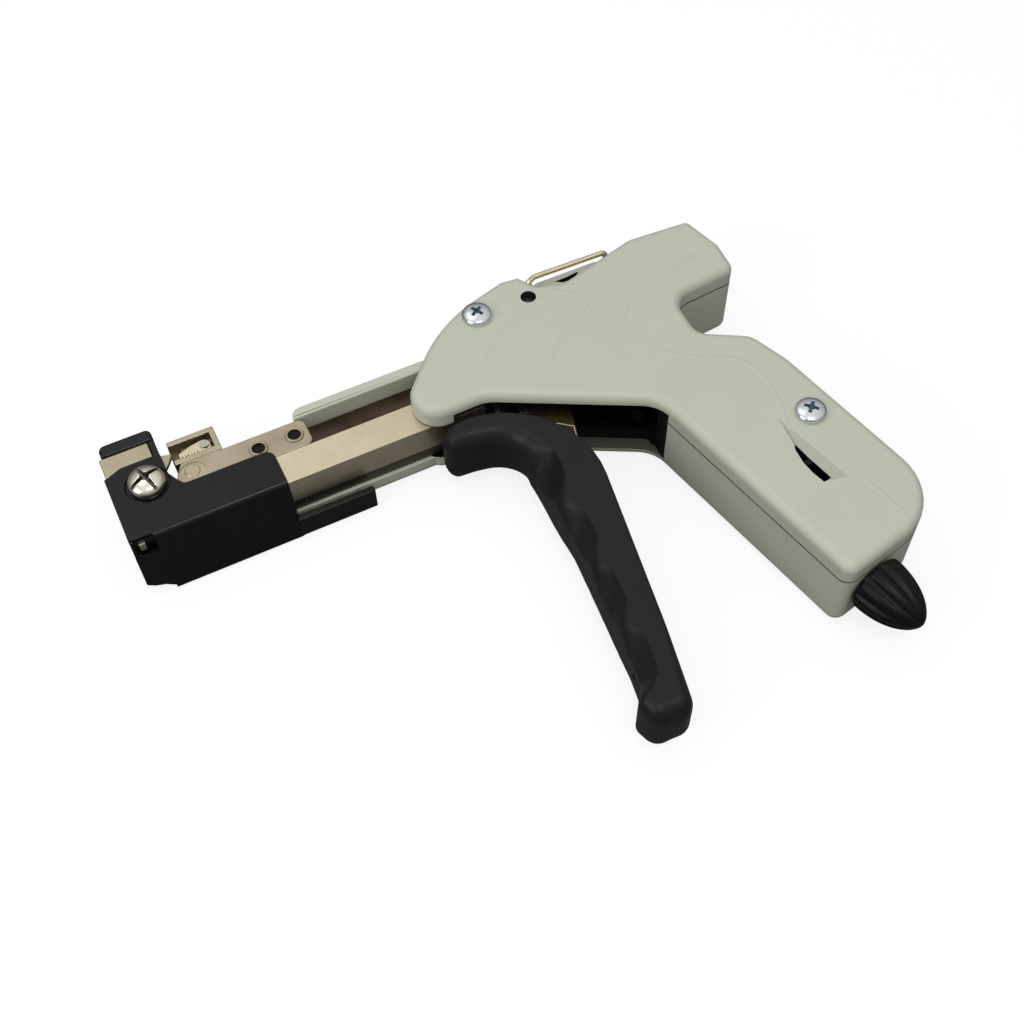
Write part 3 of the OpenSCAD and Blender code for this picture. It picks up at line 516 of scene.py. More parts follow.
def bead(points, z, w, h):
    """Low raised line along points on the side face, fading out at both ends."""
    pts = smooth([(p[0], p[1], 0) for p in points])
    rings, last = [], len(pts) - 1
    for i, p in enumerate(pts):
        t = (pts[min(i + 1, last)] - pts[max(i - 1, 0)]).normalized()
        side = Vector((-t.y, t.x, 0))
        fade = min(1, 0.05 + min(i, last - i) / 5)
        ring = []
        for k in range(9):
            a = math.pi * k / 8
            q = p + side * (w / 2 * math.cos(a))
            ring.append((q.x, q.y, z + h * fade * math.sin(a)))
        ring.append((p.x, p.y, z - 0.3))
        rings.append(ring)
    return loft(rings)


def recolour(ob, material, low, high, facing=None):
    """Gives the faces between two heights another material, or only those that face up enough."""
    index = len(ob.data.materials)
    ob.data.materials.append(material)
    for f in ob.data.polygons:
        if low <= f.center.z / MM <= high and (facing is None or f.normal.z >= facing):
            f.material_index = index


# near shell, cut out for the indicator slot, the nut behind it, the hole beside the bail and its lug
levels = [(SEAM_D, PART), (SEAM_D, PART + 0.14), (0.04, PART + 0.16), (0, PART + 0.4)]
levels += edges(PART + 1, TOP, 0, EDGE_R, 8)[1:]
near = make("near_shell_body", [slab(SHELL, levels)], HOUSING)
# the cavity's and the opening's cut faces take the near-black of painted shade
cut(near, [prism(CAVITY, 17, TOP - WALL), MOUTH], INSIDE_SHADE)
# a sloping hollow beside the indicator slot; its cut faces are a darker grey-green as painted shade
scoop = (
    [(36.7, -64.6, 24.3), (42.0, -87.2, 24.3), (37.2, -86.2, 24.3), (35.8, -72.4, 24.3),
     (36.7, -64.6, 23.98), (42.0, -87.2, 23.98), (37.0, -86.0, 22.5), (35.8, -72.6, 22.6)],
    [(3, 2, 1, 0), (4, 5, 6, 7), (0, 1, 5, 4), (1, 2, 6, 5), (2, 3, 7, 6), (3, 0, 4, 7)],
)
cut(near, [scoop], SCOOP_SHADE)
slot_edge = [(35.9, -72.6), (35.1, -75), (34.75, -79), (35.1, -82.6), (36.0, -86.0), (37.3, -86.0),
             (38.3, -84.8), (37.3, -79), (36.5, -73.4)]
pointer_way = [in_grip(30.5, 14.4), in_grip(43.5, 14.4), in_grip(43.5, 16.4), in_grip(30.5, 16.4)]
small_hole = lathe([(1.8, 17), (1.8, 23.7), (2.15, 24.05), (2.6, 24.5)])
lug_room = lathe([(2.6, 17), (2.6, 21.7)], BAIL_AT)
# the slot, the pointer's way and the holes take the near-black of painted shade on their cut faces
cut(near, [prism(pointer_way, 17, 23.4), prism(slot_edge, 17, 25), small_hole, lug_room], INSIDE_SHADE)
# the recessed band along the parting line is coloured dark as painted shade
recolour(near, SEAM_SHADE, PART + 0.01, PART + 0.16)
lines = [
    [(-21.1, -14.7), (-16.8, -11.4), (-12.5, -8.7), (-4, -4.6), (5.8, -1.4), (8.5, -2.0), (13.2, -7.3)],
    [(14.0, -8.5), (8, -12.8), (0.5, -17.3), (-7.5, -24.6)],
    [(17.7, -20.3), (20.5, -15.8), (27.0, -12.3), (36, -9.4), (45.3, -7.2), (51.1, -3.8)],
    [(19.5, -30.9), (29.7, -38.8), (38.2, -44.3), (40.6, -54.7), (37.3, -69.1)],
    [(44.7, -88.2), (46.4, -95), (47.8, -102.1)],
]
beads = [bead(p, TOP - 0.02, w=1.0, h=0.12) for p in lines]
near = joined(near, make("lines", beads, HOUSING))
dress(near, "housing", ["near_shell"])

# far shell
levels = edges(0, PART - 1, EDGE_R, 0, 8)[:-1]
levels += [(0, PART - 0.2), (SEAM_D, PART - 0.19), (SEAM_D, PART)]
far = make("far_shell_body", [slab(SHELL, levels)], HOUSING)
front_cut = [(-42.2, -26.4), (-28.6, -26.4), (-28.6, -5.5), (-42.2, -5.5)]
# the cavity, the opening and the front cut take the near-black of painted shade on their cut faces
cut(far, [prism(CAVITY, WALL, 19), MOUTH, prism(front_cut, RAIL_TOP, 19)], INSIDE_SHADE)
# the recessed band along the parting line is coloured dark as painted shade
recolour(far, SEAM_SHADE, PART - 0.198, PART - 0.01)
# the tops of the wall left under the opening are coloured darker as painted shade
recolour(far, LIP_SHADE, MOUTH_LOW - 0.1, MOUTH_LOW + 0.1, facing=0.9)
rod_way = [in_grip(s, ROD_T) + (ROD_Z,) for s in (61.5, 68.5)]
# the way for the rod takes the near-black of painted shade on its cut faces
cut(far, [rod(*rod_way, 5.4)], INSIDE_SHADE)

# its rails, the bail's lug, the screw pillars and the trigger's boss
rail = [(-80, -23.8, 0.8), (-34, -23.8, 0.4), (-34, -2.3, 0.4), (-69.9, -2.3, 2.5), (-69.9, -13, 2),
        (-80, -15, 0.8)]
wall_top = [(-69.6, -5.5, 0.3), (-32, -5.5, 0.3), (-32, -2.3, 0.3), (-69.6, -2.3, 2.6)]
lug_sides = (BAIL_AT[0] - BAIL_LUG_R, BAIL_AT[0] + BAIL_LUG_R)
lug_foot = [(lug_sides[0], 4.6, 0.3), (lug_sides[1], 4.6, 0.3), (lug_sides[1], 7.2, 0.3),
            (lug_sides[0], 7.2, 0.3)]
lug = [(2.0, 4.75), (2.28, 5.0), (2.28, 18.8), (2.05, 19.2)]
extra = [
    slab(rail, edges(0, RAIL_TOP, EDGE_R, 0.25)),
    slab(wall_top, edges(4.8, PART, 0, 0.5)),
    slab(lug_foot, edges(4.75, PART, 0.3, 0.2), 3),
    lathe(lug, BAIL_AT),
    *[lathe([(3.8, 2), (3.8, PART - 0.05)], at) for at in SHELL_SCREWS],
    lathe([(4.2, 2), (4.2, 3.7)]),
]
far = joined(far, make("rails", extra, HOUSING))

# the ridge under the bail, with a dark gap behind it; the gap's cut faces are near-black painted shade
ridge = [(6.3, 1.15, 1.1), (29.1, 1.15, 1.1), (27.0, 7.15, 1.1), (24.7, 8.7, 1.65), (5.0, 8.8, 1.65)]
ridge = make("ridge", [slab(ridge, edges(6.5, PART, 0.3, 0.3))], HOUSING)
crescent = [(11.4, 6.9), (13.2, 5.6), (15.2, 5.4), (17.4, 6.0), (18.9, 7.0), (18.2, 7.3), (15, 6.9)]
far = joined(far, cut(ridge, [prism(crescent, 15.5, 19)], INSIDE_SHADE))

# the strip along the opening's lip, coloured dark grey-green as painted shade
lip_levels = [(2, 2.1), (2, 2.4), (3.9, 2.4), (3.9, 2.1), (2, 2.1)]
lip = loft([[(x, y, z) for x, y in outline(inset(SHELL, d), 6)] for d, z in lip_levels], caps=False)
lip = cut(make("lip", [lip], LIP_SHADE), [brick(-33, -60, 1, 14.2, -26, 2.9, 0.1)], LIP_SHADE, keep=True)
far = joined(far, lip)
dress(far, "housing", ["far_shell"])


def screw_head(name, at, z, r, h, material, turn, slotted=False):
    """Pan head with a cross recess, and on a slotted one with a slot through its rim."""
    place = Matrix.Translation((at[0], at[1], z))
    rim = 0.32 * h
    angles = [math.pi / 2 * k / 10 for k in range(10)]
    dome = [(r * math.cos(a), rim + (h - rim) * math.sin(a)) for a in angles]
    profile = [(r * 0.96, 0.02), (r, 0.18)] + dome + [(0.12 * r, h)]
    ob = make(name, [moved(lathe(profile, sides=64), place)], material)
    arms = []
    for k in range(2):
        m = place @ Matrix.Rotation(turn + k * math.pi / 2, 4, "Z")
        cross_levels = [(0.3 * r, 0.7 * 0.13 * r, 0.45 * h), (0.6 * r, 0.13 * r, h + 0.5)]
        arms.append(moved(loft([[(-x, -y, up), (x, -y, up), (x, y, up), (-x, y, up)]
                                for x, y, up in cross_levels]), m))
        if slotted:
            slot = brick(-r * 1.1, -0.1 * r, h * 0.55, r * 1.1, 0.1 * r, h * 1.3, 0.1)
            arms.append(moved(slot, m))
    core = moved(lathe([(0.1 * r, 0.4 * h), (0.3 * r, h + 0.5)], sides=24), place)
    # the cross recess and slot faces take a darker colour than the head, as painted shade
    return cut(ob, arms + [core], DARK_STEEL_AND_SHADE if slotted else RECESS_SHADE)


shell_heads = [("shell_screw_front", 0.5, ["shell_screws"]), ("shell_screw_rear", 0.75, [])]
for at, (name, turn, nodes) in zip(SHELL_SCREWS, shell_heads):
    head = screw_head(name, at, TOP, r=4.0, h=2.2, material=ZINC, turn=turn)
    dress(head, "housing", nodes, angle=40, bevel=0.05)
nose_screw = screw_head("nose_screw_head", NOSE_SCREW, 18.95, r=4.75, h=3.6, material=SCREW,
                        turn=0.35, slotted=True)
shank = make("shank", [lathe([(2.5, 5.2), (2.5, 19.2)], NOSE_SCREW)], SCREW)
dress(joined(nose_screw, shank), "housing", ["nose_screw"], angle=40, bevel=0.08)

# ---------------------------------------------------------------- nose


def along_x(pts, x0, x1, r=0.2):
    """Slab of a corner list in the Y-Z plane, from x0 to x1."""
    part = slab(pts, edges(x0, x1, r, r, 3), 8)
    return [(z, x, y) for x, y, z in part[0]], part[1]


# cover: a folded sheet, cut away round the carrier, at its low front corner and for the window
sheet = [(-1.1, 19, 0.3), (-24.2, 19, 2.0), (-28.3, 0.5, 0.3), (-27.28, 0.5, 0.3), (-23.35, 18, 1.0),
         (-1.1, 18, 0.3)]
cover = make("nose_cover_body", [along_x(sheet, -118.5, -78)], COVER)
away = outline([(-76, 3, 0.5), (-121, 3, 0.5), (-121, -4.3, 0.5), (-118.4, -3.1, 0.8),
                (-113.3, -1.1, 2.0), (-103.6, -1.1, 0.9), (-103.6, -8, 2.0), (-101.2, -12.8, 2.0),
                (-78, -12.8, 2.6), (-78, -16.5, 0.2), (-76, -16.5, 0.2)], 8)
corner = [(-119.5, -1), (-111.6, -1), (-112.0, 1.6), (-114.2, 3.0), (-116.6, 3.8), (-119.5, 5.6)]
corner = prism(corner, 20, 32)
corner = ([(x, -z, y) for x, y, z in corner[0]], corner[1])
window = brick(-119.5, -29, 13.6, -112.4, -23.3, 20, 0.6)
dish = lathe([(5.4, 18.6), (5.9, 19.3)], NOSE_SCREW)
cut(cover, [prism(away, 16.5, 20.5), corner, window, dish], COVER)
front = [(-23.8, 18.6, 0.4), (-27.1, 5.2, 0.4), (-3.6, 5.2, 0.4), (-3.6, 18.6, 0.4)]
tongue = brick(-78.6, -28.1, 0.5, -57.55, -26.1, 7.4, 0.45)
# painted shade: a thin black sheet just behind the cover's window, standing in for the shade inside it
window_shade_sheet = brick(-118, -23.4, 12.5, -111, -23.1, 18.2, 0.1)
cover = joined(cover, make("front", [along_x(front, -118.45, -117.5), tongue, window_shade_sheet], COVER))
dress(cover, "housing", ["nose_cover"], angle=40, bevel=0.18)

cap = [(-117.25, 4.4, 0.4), (-103.6, 4.4, 0.4), (-103.6, 8.3, 1.5), (-117.25, 8.3, 1.8)]
jaw_cap = make("jaw_cap_body", [slab(cap, edges(9.75, 18.5, 0.5, 0.9))], CAP)
leg = make("leg", [brick(-105.3, -0.4, 10.3, -103.65, 5.2, 17.9, 0.35)], CAP)
dress(joined(jaw_cap, leg), "housing", ["jaw_cap"])

jaw = make("front_jaw_body", [brick(-118, -1.9, 9.72, -105.42, 4.38, 18, 0.3)], NICKEL_PLATE)
block = make("body", [brick(-117, -23, 9.72, -105.42, -1.3, 17.95, 0.2)], NICKEL_PLATE)
# the pocket's cut faces take the dark steel as painted shade
jaw = joined(jaw, cut(block, [brick(-108, -22.6, 10.8, -105, -15.8, 16.8)], DARK_STEEL_AND_SHADE))
guard = [(-105.9, -0.6, 0.3), (-105.9, -6.0, 0.3), (-103.75, -6.0, 0.4), (-102.4, -4.35, 0.4),
         (-100.8, -1.95, 0.3)]
rest = [slab(guard, edges(16.8, 18, 0.15, 0.3, 3), 5),
        brick(-116.6, -24.2, 14.6, -114.9, -22.9, 17.2, 0.2)]
jaw = joined(jaw, make("rest", rest, NICKEL_PLATE))
dress(jaw, "housing", ["front_jaw"])

# gripper carrier: strip, rims, dished rivet place and the folded box
strip = [(-102.2, -9.8, 1.0), (-99.7, -14.4, 1.0), (-67.4, -14.4, 1.9), (-67.4, -5.9, 1.9),
         (-100.2, -5.9, 1.0)]
carrier = make("gripper_carrier_strip", [slab(strip, edges(16.2, 17.7, 0.1, 0.3, 4))], STRIP)
angles = [2 * math.pi * k / 40 for k in range(40)]
dish = [(-97.9 + 3.4 * math.cos(a), -8.9 + 2.5 * math.sin(a)) for a in angles]
holes = [lathe([(1.7, 16), (1.7, 18.5)], at) for at in RIMS]
cut(carrier, [prism(dish, 17.42, 18.5)] + holes, NICKEL_PLATE)
rim = [(1.7, 17.0), (1.72, 18.0), (1.95, 18.1), (2.25, 18.05), (2.5, 17.7), (2.55, 17.4), (1.7, 17.0)]
box = [brick(-101.2, -5.5, 10.02, -88.9, 2.3, 11.5),
       brick(-101.2, 0.8, 10.5, -88.9, 2.3, 17.7),
       brick(-90.4, -5.5, 10.5, -88.9, 1.2, 17.68),
       brick(-99.95, -6.2, 16.25, -88.9, -5.2, 17.64),
       brick(-101.2, -5.5, 10.5, -88.9, -3.9, 17.66),
       lathe([(2.0, 17.2), (2.0, 17.5), (1.8, 17.66), (0.6, 17.68)], (-97.9, -8.9))]
box += [lathe(rim, at, caps=False) for at in RIMS]
carrier = joined(carrier, make("box", box, NICKEL_PLATE))
dress(carrier, "tension_slide", ["gripper_carrier"])

wedge = [(-99.5, -3.25, 0.15), (-91.1, -3.25, 0.5), (-90.85, -1.4, 0.8), (-92.4, 0.15, 1.2),
         (-96, -0.5, 2.0), (-99.5, -1.75, 0.2)]
pawl = make("gripper_pawl_wedge", [slab(wedge, edges(11.8, 16.7, 0.15, 0.25, 3), 5)], NICKEL)
teeth = [[(-99.1 + 0.8 * k, -3.6), (-98.7 + 0.8 * k, -2.8), (-98.3 + 0.8 * k, -3.6)] for k in range(6)]
# the gaps between the teeth take the dark steel as painted shade
cut(pawl, [prism(tooth, 11, 18) for tooth in teeth], DARK_STEEL_AND_SHADE)
dress(pawl, "gripper_pawl", ["gripper_pawl"])

# ---------------------------------------------------------------- trigger

TRIGGER_MID, TRIGGER_HALF = 12, 8.5  # height of its middle, and half its thickness
TRIGGER_PTS = [(x * TRIGGER_L, y * TRIGGER_L, r * TRIGGER_L) for x, y, r in [
    (-0.317, -0.216, 0.026), (-0.316, -0.27, 0.028), (-0.175, -0.298, 0.074), (-0.18, -0.492, 0.05),
    (-0.1805, -0.562, 0.1), (-0.187, -0.639, 0.06), (-0.196, -0.709, 0.1), (-0.2035, -0.786, 0.06),
    (-0.212, -0.856, 0.1), (-0.221, -0.908, 0.049), (-0.252, -0.943, 0.02), (-0.242, -0.996, 0.034),
    (-0.159, -1.0, 0.033), (-0.0115, -0.22, 0.215)]]
# width of the rounded edge, by number of the corner
EDGE_WIDTHS = [(-0.05, 3.4), (0.3, 3.5), (1, 3.6), (1.5, 4.8), (2.05, 4.6), (9.05, 2.0), (10, 2.2),
               (11, 3.6), (11.4, 4.6), (11.95, 4.2), (12.3, 1.1), (13, 0.9), (13.5, 1.2), (14, 3.4)]
# the four finger scoops: their ends in y, and the width of their edge
SCOOP_ENDS = [-37.5, -59.9, -78.0, -95.8, -114.0]
FIRST_SCOOP = [(0, 4.6), (0.3, 6.0), (0.65, 5.5), (0.9, 3.4), (1, 2.3)]
LATER_SCOOPS = (2.1, 1.9, 1.8)
BETWEEN_SCOOPS = 2.3


def table(x, pairs):
    """Straight-line value at x between given pairs."""
    if x <= pairs[0][0]:
        return pairs[0][1]
    for (a, p), (b, q) in zip(pairs, pairs[1:]):
        if x <= b:
            return p + (q - p) * (x - a) / (b - a)
    return pairs[-1][1]


def evenly(ring, marks, gap):
    """Points about gap apart round a closed line, and its marks between them.

    marks has one value more than ring, for the way back to the first point.
    """
    closed = ring + ring[:1]
    way = [0.0]
    for p, q in zip(closed, closed[1:]):
        way.append(way[-1] + math.dist(p, q))
    n = round(way[-1] / gap)
    pts, spots, i = [], [], 0
    for k in range(n):
        at = way[-1] * k / n
        while way[i + 1] < at:
            i += 1
        f = (at - way[i]) / max(way[i + 1] - way[i], 1e-9)
        p, q = closed[i], closed[i + 1]
        pts.append((p[0] + (q[0] - p[0]) * f, p[1] + (q[1] - p[1]) * f))
        spots.append(marks[i] + (marks[i + 1] - marks[i]) * f)
    return pts, spots


def edge_at(y, spot):
    """Width of the trigger's edge there, and how hollow it is, from 0 to 1."""
    if not (2.05 < spot < 9.3 and SCOOP_ENDS[-1] < y < SCOOP_ENDS[0]):
        return table(spot, EDGE_WIDTHS), 0.0
    k = next(j for j in range(4) if SCOOP_ENDS[j + 1] < y <= SCOOP_ENDS[j])
    f = (SCOOP_ENDS[k] - y) / (SCOOP_ENDS[k] - SCOOP_ENDS[k + 1])
    hollow = math.sin(math.pi * f)
    if k == 0:
        return table(f, FIRST_SCOOP), hollow
    return BETWEEN_SCOOPS + LATER_SCOOPS[k - 1] * hollow ** 0.8, hollow


def softened(values):
    """Closed row of values, each drawn halfway to its neighbours."""
    n = len(values)
    return [(values[i - 1] + 2 * values[i] + values[(i + 1) % n]) / 4 for i in range(n)]


def trigger_skin(arc=12, steps=10):
    """Trigger with four finger scoops let into its front edges, and a deep rounding at its toe."""
    ring = outline(TRIGGER_PTS, arc)
    # a point's mark is the number of its corner, spread a little round the corner
    marks = [i // (arc + 1) + (i % (arc + 1)) / arc * 0.1 - 0.05 for i in range(len(ring))]
    pts, spots = evenly(ring, marks + [marks[0] + len(TRIGGER_PTS)], 0.6)
    n = len(pts)
    normals = [left(unit(sub(pts[(i + 1) % n], pts[i - 1]))) for i in range(n)]
    widths, hollows = zip(*(edge_at(p[1], spot) for p, spot in zip(pts, spots)))
    for _ in range(14):
        widths, hollows = softened(widths), softened(hollows)
    rings = []
    levels = [k / steps for k in range(steps + 1)]
    for side, row in ((-1, levels[::-1]), (1, levels)):
        for t in row:
            # the edge goes from a quarter round (w = 0) to a slope with a slight hollow (w = 1)
            a = t * math.pi / 2
            layer = []
            for p, q, d, w in zip(pts, normals, widths, hollows):
                if side < 0:  # the far edge is hardly scooped
                    d, w = d + min(1, 3 * w) * (2.2 - d) * 0.8, 0.2 * w
                rise = min(7.6, 1.25 * d + 0.6)
                off = d * ((1 - math.cos(a)) * (1 - w) + w * (0.75 * t + 0.25 * math.sin(a)))
                up = rise * (math.sin(a) * (1 - w) + w * (0.75 * t + 0.25 * (1 - math.cos(a))))
                z = TRIGGER_MID + side * (TRIGGER_HALF - rise + up)
                layer.append((p[0] + q[0] * off, p[1] + q[1] * off, z))
            rings.append(layer)
    return loft(rings)


trigger = make("trigger_grip", [trigger_skin()], TRIGGER)
arm = [(x * TRIGGER_L, y * TRIGGER_L, r * TRIGGER_L) for x, y, r in [
    (-0.034, 0, 0.02), (-0.16, -0.3, 0.02), (-0.15, -0.37, 0.03), (-0.075, -0.4, 0.03),
    (0.034, 0, 0.02)]]
ARM_SLOTS = [(3.88, 5.62), (16.38, 18.12)]
pocket = outline(inset(arm, -0.12), 5)
head = [(-0.19, -0.2), (-0.15, -0.33), (-0.1, -0.36), (0.02, -0.36), (0.02, -0.2)]
head = [(x * TRIGGER_L, y * TRIGGER_L) for x, y in head]
toe_hole = rod((-30, -105.9, 11.6), (-23, -105.9, 11.6), 0.9, 20)
slots = [prism(pocket, *heights) for heights in ARM_SLOTS]
# the arm slots, the head's hollow and the toe hole take the near-black of painted shade on their cut
# faces
cut(trigger, slots + [prism(head, 5.5, 16.5), toe_hole], INSIDE_SHADE)
dress(trigger, "trigger", ["trigger"], angle=38)
# painted highlight: a thin bright wire along the arm plate's lower edge stands in for the light caught
# on that edge
edge = [(-14.2, -34.9, 18.0), (-9.9, -37.7, 18.0), (-7.1, -40.0, 18.0), (-8.1, -43.6, 18.0)]
arm_edge_highlight = make("arm_edge_highlight", [wire(edge, r=0.3, sides=10)], STRIP)
dress(arm_edge_highlight, "trigger", [], angle=60)

# ---------------------------------------------------------------- knob, bail and springs

KNOB_L, KNOB_R = 15.64, 7.47
BAIL_LOW, BAIL_HIGH = 3.4, 20.6  # heights of the bail's two legs


def upright(at, z):
    """Matrix from a body turned round Z to one along the handle, starting at a place on its axis."""
    m = Matrix((ACROSS + (0,), (0, 0, 1), DOWN + (0,))).transposed().to_4x4()
    return Matrix.Translation((at[0], at[1], z)) @ m


def flutes(a, z):
    """Ten flutes round the knob, fading out at both ends."""
    fade = min(1.0, z / 1.2) * (1 - 0.55 * (z / KNOB_L) ** 4)
    return 1 - 0.11 * fade * (0.5 - 0.5 * math.cos(10 * a)) ** 1.8


form = [(6.7, 0.0), (7.2, 0.25), (7.42, 0.9)]
heights = [KNOB_L * math.sin(math.pi / 2 * k / 26) for k in range(3, 27)]
form += [(KNOB_R * (1 - (z / KNOB_L) ** 2.2) ** 0.588, z) for z in heights]
knob = lathe(form, sides=220, wave=flutes)
knob = make("knob_fluted", [moved(knob, upright(in_grip(66.6, ROD_T), ROD_Z))], KNOB)
dress(knob, "knob", ["knob"], angle=60)


def rounded(points, r, steps=8):
    """Points of a path with every inner corner turned at radius r."""
    pts = [Vector(p) for p in points]
    out = [pts[0]]
    for i in range(1, len(pts) - 1):
        a, b = (pts[i] - pts[i - 1]).normalized(), (pts[i + 1] - pts[i]).normalized()
        half = math.acos(max(-1, min(1, a.dot(b)))) / 2
        inward = (b - a).normalized()
        hub = pts[i] + inward * (r / math.cos(half))
        for k in range(steps + 1):
            w = half * (2 * k / steps - 1)
            out.append(hub + r * (math.sin(w) * (a + b).normalized() - math.cos(w) * inward))
    return out + [pts[-1]]


knee = (BAIL_AT[0] + 3.0, BAIL_AT[1] + 1.49)
end = (BAIL_AT[0] + 24.8, BAIL_AT[1] + 1.0)
bail_path = [BAIL_AT + (9.5,), BAIL_AT + (BAIL_LOW,), knee + (BAIL_LOW,), end + (BAIL_LOW,),
             end + (BAIL_HIGH,), knee + (BAIL_HIGH,), BAIL_AT + (BAIL_HIGH,), BAIL_AT + (14.5,)]
bail = make("bail_wire_loop", [wire(rounded(bail_path, 1.5), r=0.75)], WIRE)
dress(bail, "bail", ["bail"], angle=60)


def coil(radius, turns, length, sides=20):
    """Points of an upright coil that starts on the ground."""
    out = []
    for k in range(turns * sides + 1):
        w = 2 * math.pi * k / sides
        out.append((radius * math.cos(w), radius * math.sin(w), length * k / (turns * sides)))
    return out


hook = smooth([(0, 0, -7.2), (0, 0, -2.6), (1.2, 0, -1.3), (3.6, 0.2, -0.4)], 0.7)[:-1]
spring = wire(hook + coil(radius=3.85, turns=15, length=24.3), r=0.6, sides=10)
spring = make("tension_spring_coil", [moved(spring, upright(in_grip(2.0, ROD_T), ROD_Z))], SPRING)
dress(spring, "housing", ["tension_spring"], angle=60)
legs = [(x, y, z + 6.5) for x, y, z in coil(radius=3.0, turns=3, length=2.4)]
legs += [(0, 3.0, 9.0), (-6, 3.0, 9.0), (-9.4, 3.0, 9.0)]
spring = make("return_spring_coil", [wire(legs, r=0.55, sides=10)], SPRING)
dress(spring, "housing", ["return_spring"], angle=60)

# ---------------------------------------------------------------- CAD nodes that keep their shape

# material, and the width of the rounding on the edges
FINISH = {
    "frame_plate": (DARK_STEEL_AND_SHADE, 0.15), "barrel": (NICKEL, 0.35), "barrel_pins": (PIN, 0.1),
    "trigger_pin": (PIN, 0.1), "trigger_arms": (PLATE, 0.12), "trigger_rivets": (PIN, 0.15),
    "link_pin": (PIN, 0.1), "drive_link": (DARK_STEEL_AND_SHADE, 0.12), "slide_pin": (PIN, 0.1),
    "tension_bar": (BROWN, 0.15), "carrier_screws": (BLACKENED_AND_SHADE, 0.1), "pawl_pin": (PIN, 0.1),
    # the rocker and its pin are near-black as painted shade inside the housing
    "pawl_spring": (SPRING, 0.05), "rocker": (BLACKENED_AND_SHADE, 0.12), "rocker_pin": (BLACKENED_AND_SHADE, 0.1),
    "rocker_studs": (PIN, 0.1), "cutter_bar": (DARK_STEEL_AND_SHADE, 0.1), "cutter_blade": (PIN, 0.05),
    "cutter_link": (DARK_STEEL_AND_SHADE, 0.1), "cutter_rivet": (PIN, 0.1), "tension_nut": (BLACKENED_AND_SHADE, 0.15),
    "tension_rod": (PIN, 0.1), "rod_bush": (BRONZE, 0.1), "rod_clip": (BLACKENED_AND_SHADE, 0.08),
}
for name, (material, width) in FINISH.items():
    ob = NODES[name]
    ob.data.materials.clear()
    ob.data.materials.append(material)
    ob.modifiers.new("weld", "WELD").merge_threshold = 0.005 * MM
    break_edges(ob, width, 45)
    ob.modifiers.new("normals", "WEIGHTED_NORMAL").keep_sharp = True

# ---------------------------------------------------------------- stage, light and camera

STAGE_GLOW = 1.03  # a little over white, which makes up for the diffuse share


def stage_material(name, colour, glow_share, dim):
    """White to the camera and through glass, with the object's shadow; dim to all other rays."""
    m = bpy.data.materials.new(name)
    m.use_nodes = True
    nt = m.node_tree
    nt.nodes.clear()
    path = nt.nodes.new("ShaderNodeLightPath")
    more = nt.nodes.new("ShaderNodeMath")
    more.operation = "MAXIMUM"
    nt.links.new(path.outputs["Is Camera Ray"], more.inputs[0])
    nt.links.new(path.outputs["Is Transmission Ray"], more.inputs[1])
    shown = nt.nodes.new("ShaderNodeBsdfDiffuse")
    shown.inputs["Color"].default_value = (colour, colour, colour, 1)
    glow = nt.nodes.new("ShaderNodeEmission")
    glow.inputs["Strength"].default_value = STAGE_GLOW
    mixed = nt.nodes.new("ShaderNodeMixShader")
    mixed.inputs[0].default_value = glow_share
    nt.links.new(shown.outputs[0], mixed.inputs[1])
    nt.links.new(glow.outputs[0], mixed.inputs[2])
    plain = nt.nodes.new("ShaderNodeBsdfDiffuse")
    plain.inputs["Color"].default_value = (dim, dim, dim, 1)
    last = nt.nodes.new("ShaderNodeMixShader")
    nt.links.new(more.outputs[0], last.inputs[0])
    nt.links.new(plain.outputs[0], last.inputs[1])
    nt.links.new(mixed.outputs[0], last.inputs[2])
    out = nt.nodes.new("ShaderNodeOutputMaterial")
    nt.links.new(last.outputs[0], out.inputs[0])
    return m


reach = 3000
square = [(-reach, -reach, 0), (reach, -reach, 0), (reach, reach, 0), (-reach, reach, 0)]
pale = stage_material("floor_pale", colour=0.98, glow_share=0.8, dim=0.2)
floor = make("floor", [(square, [(0, 1, 2, 3)])], pale)
floor.location.z = -0.1 * MM  # just clear of the object's own flat side

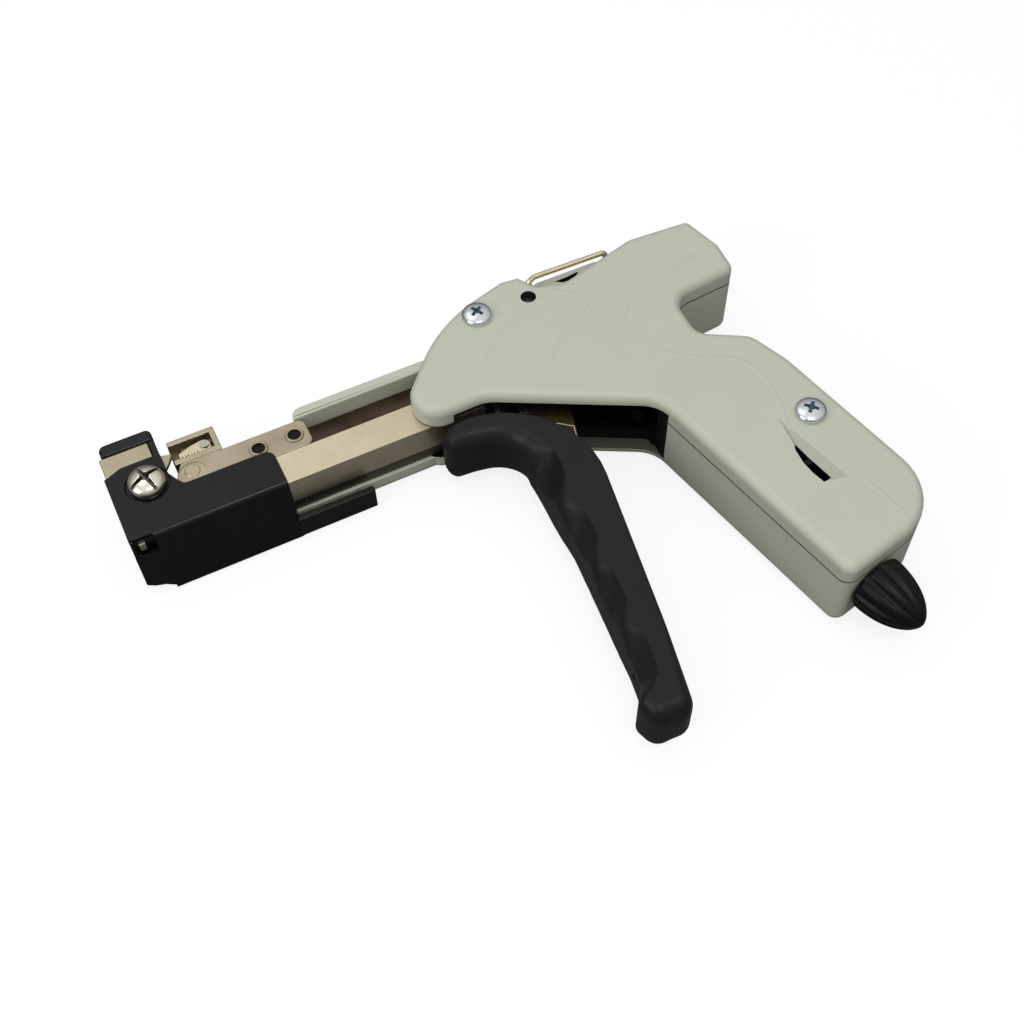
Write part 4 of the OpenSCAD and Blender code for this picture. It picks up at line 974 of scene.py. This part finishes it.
# the sky lights the object from above and darkens towards the horizon; the camera sees a pale grey
world = bpy.data.worlds.new("studio")
bpy.context.scene.world = world
world.use_nodes = True
wt = world.node_tree
soft = wt.nodes["Background"]
soft.inputs["Color"].default_value = (1, 1, 1, 1)
place = wt.nodes.new("ShaderNodeTexCoord")
split = wt.nodes.new("ShaderNodeSeparateXYZ")
grade = wt.nodes.new("ShaderNodeMapRange")
grade.inputs["From Min"].default_value = -0.1
grade.inputs["To Min"].default_value = 0.04
grade.inputs["To Max"].default_value = 0.93
wt.links.new(place.outputs["Generated"], split.inputs[0])
wt.links.new(split.outputs["Z"], grade.inputs["Value"])
wt.links.new(grade.outputs["Result"], soft.inputs["Strength"])
white = wt.nodes.new("ShaderNodeBackground")
white.inputs["Strength"].default_value = 1.0
rays = wt.nodes.new("ShaderNodeLightPath")
pick = wt.nodes.new("ShaderNodeMixShader")
wt.links.new(rays.outputs["Is Camera Ray"], pick.inputs[0])
wt.links.new(soft.outputs[0], pick.inputs[1])
wt.links.new(white.outputs[0], pick.inputs[2])
wt.links.new(pick.outputs[0], wt.nodes["World Output"].inputs["Surface"])


def lamp(name, place, aim, size, power, tall=None):
    """Square softbox, or one tall metres high, that faces aim."""
    data = bpy.data.lights.new(name, "AREA")
    data.shape = "RECTANGLE"
    data.size, data.size_y = size, tall or size
    data.energy = power
    ob = bpy.data.objects.new(name, data)
    bpy.context.scene.collection.objects.link(ob)
    ob.location = place
    ob.rotation_mode = "QUATERNION"
    ob.rotation_quaternion = (Vector(aim) - Vector(place)).to_track_quat("-Z", "Y")


lamp("key_softbox", (-0.25, 0.35, 0.75), aim=(0, -0.04, 0), size=0.6, power=0.6)
lamp("fold_softbox", (-0.07, -0.34, 0.7), aim=(-0.03, -0.03, 0), size=0.3, power=1.0, tall=0.1)
lamp("side_softbox", (-0.7, -0.15, 0.4), aim=(-0.03, -0.04, 0.01), size=0.4, power=1.5)

# camera, worked out from the housing's edges in the photo
FRAME_PX, FOCAL_PX, SENSOR = 1024, 1350, 36
cam = bpy.data.objects.new("camera", bpy.data.cameras.new("camera"))
bpy.context.scene.collection.objects.link(cam)
bpy.context.scene.camera = cam
cam.data.sensor_width = SENSOR
cam.data.lens = FOCAL_PX / FRAME_PX * SENSOR
cam.data.clip_start, cam.data.clip_end = 0.01, 20
right = Vector((0.8973481, -0.4409257, -0.0187316))
down = Vector((-0.3734359, -0.7360087, -0.5646564))
ahead = Vector((0.2351849, 0.5136884, -0.8251135))
turned = Matrix((right, -down, -ahead)).transposed().to_4x4()
cam.matrix_world = Matrix.Translation((-0.10937, -0.224016, 0.287261)) @ turned

bpy.context.scene.view_settings.view_transform = "Standard"
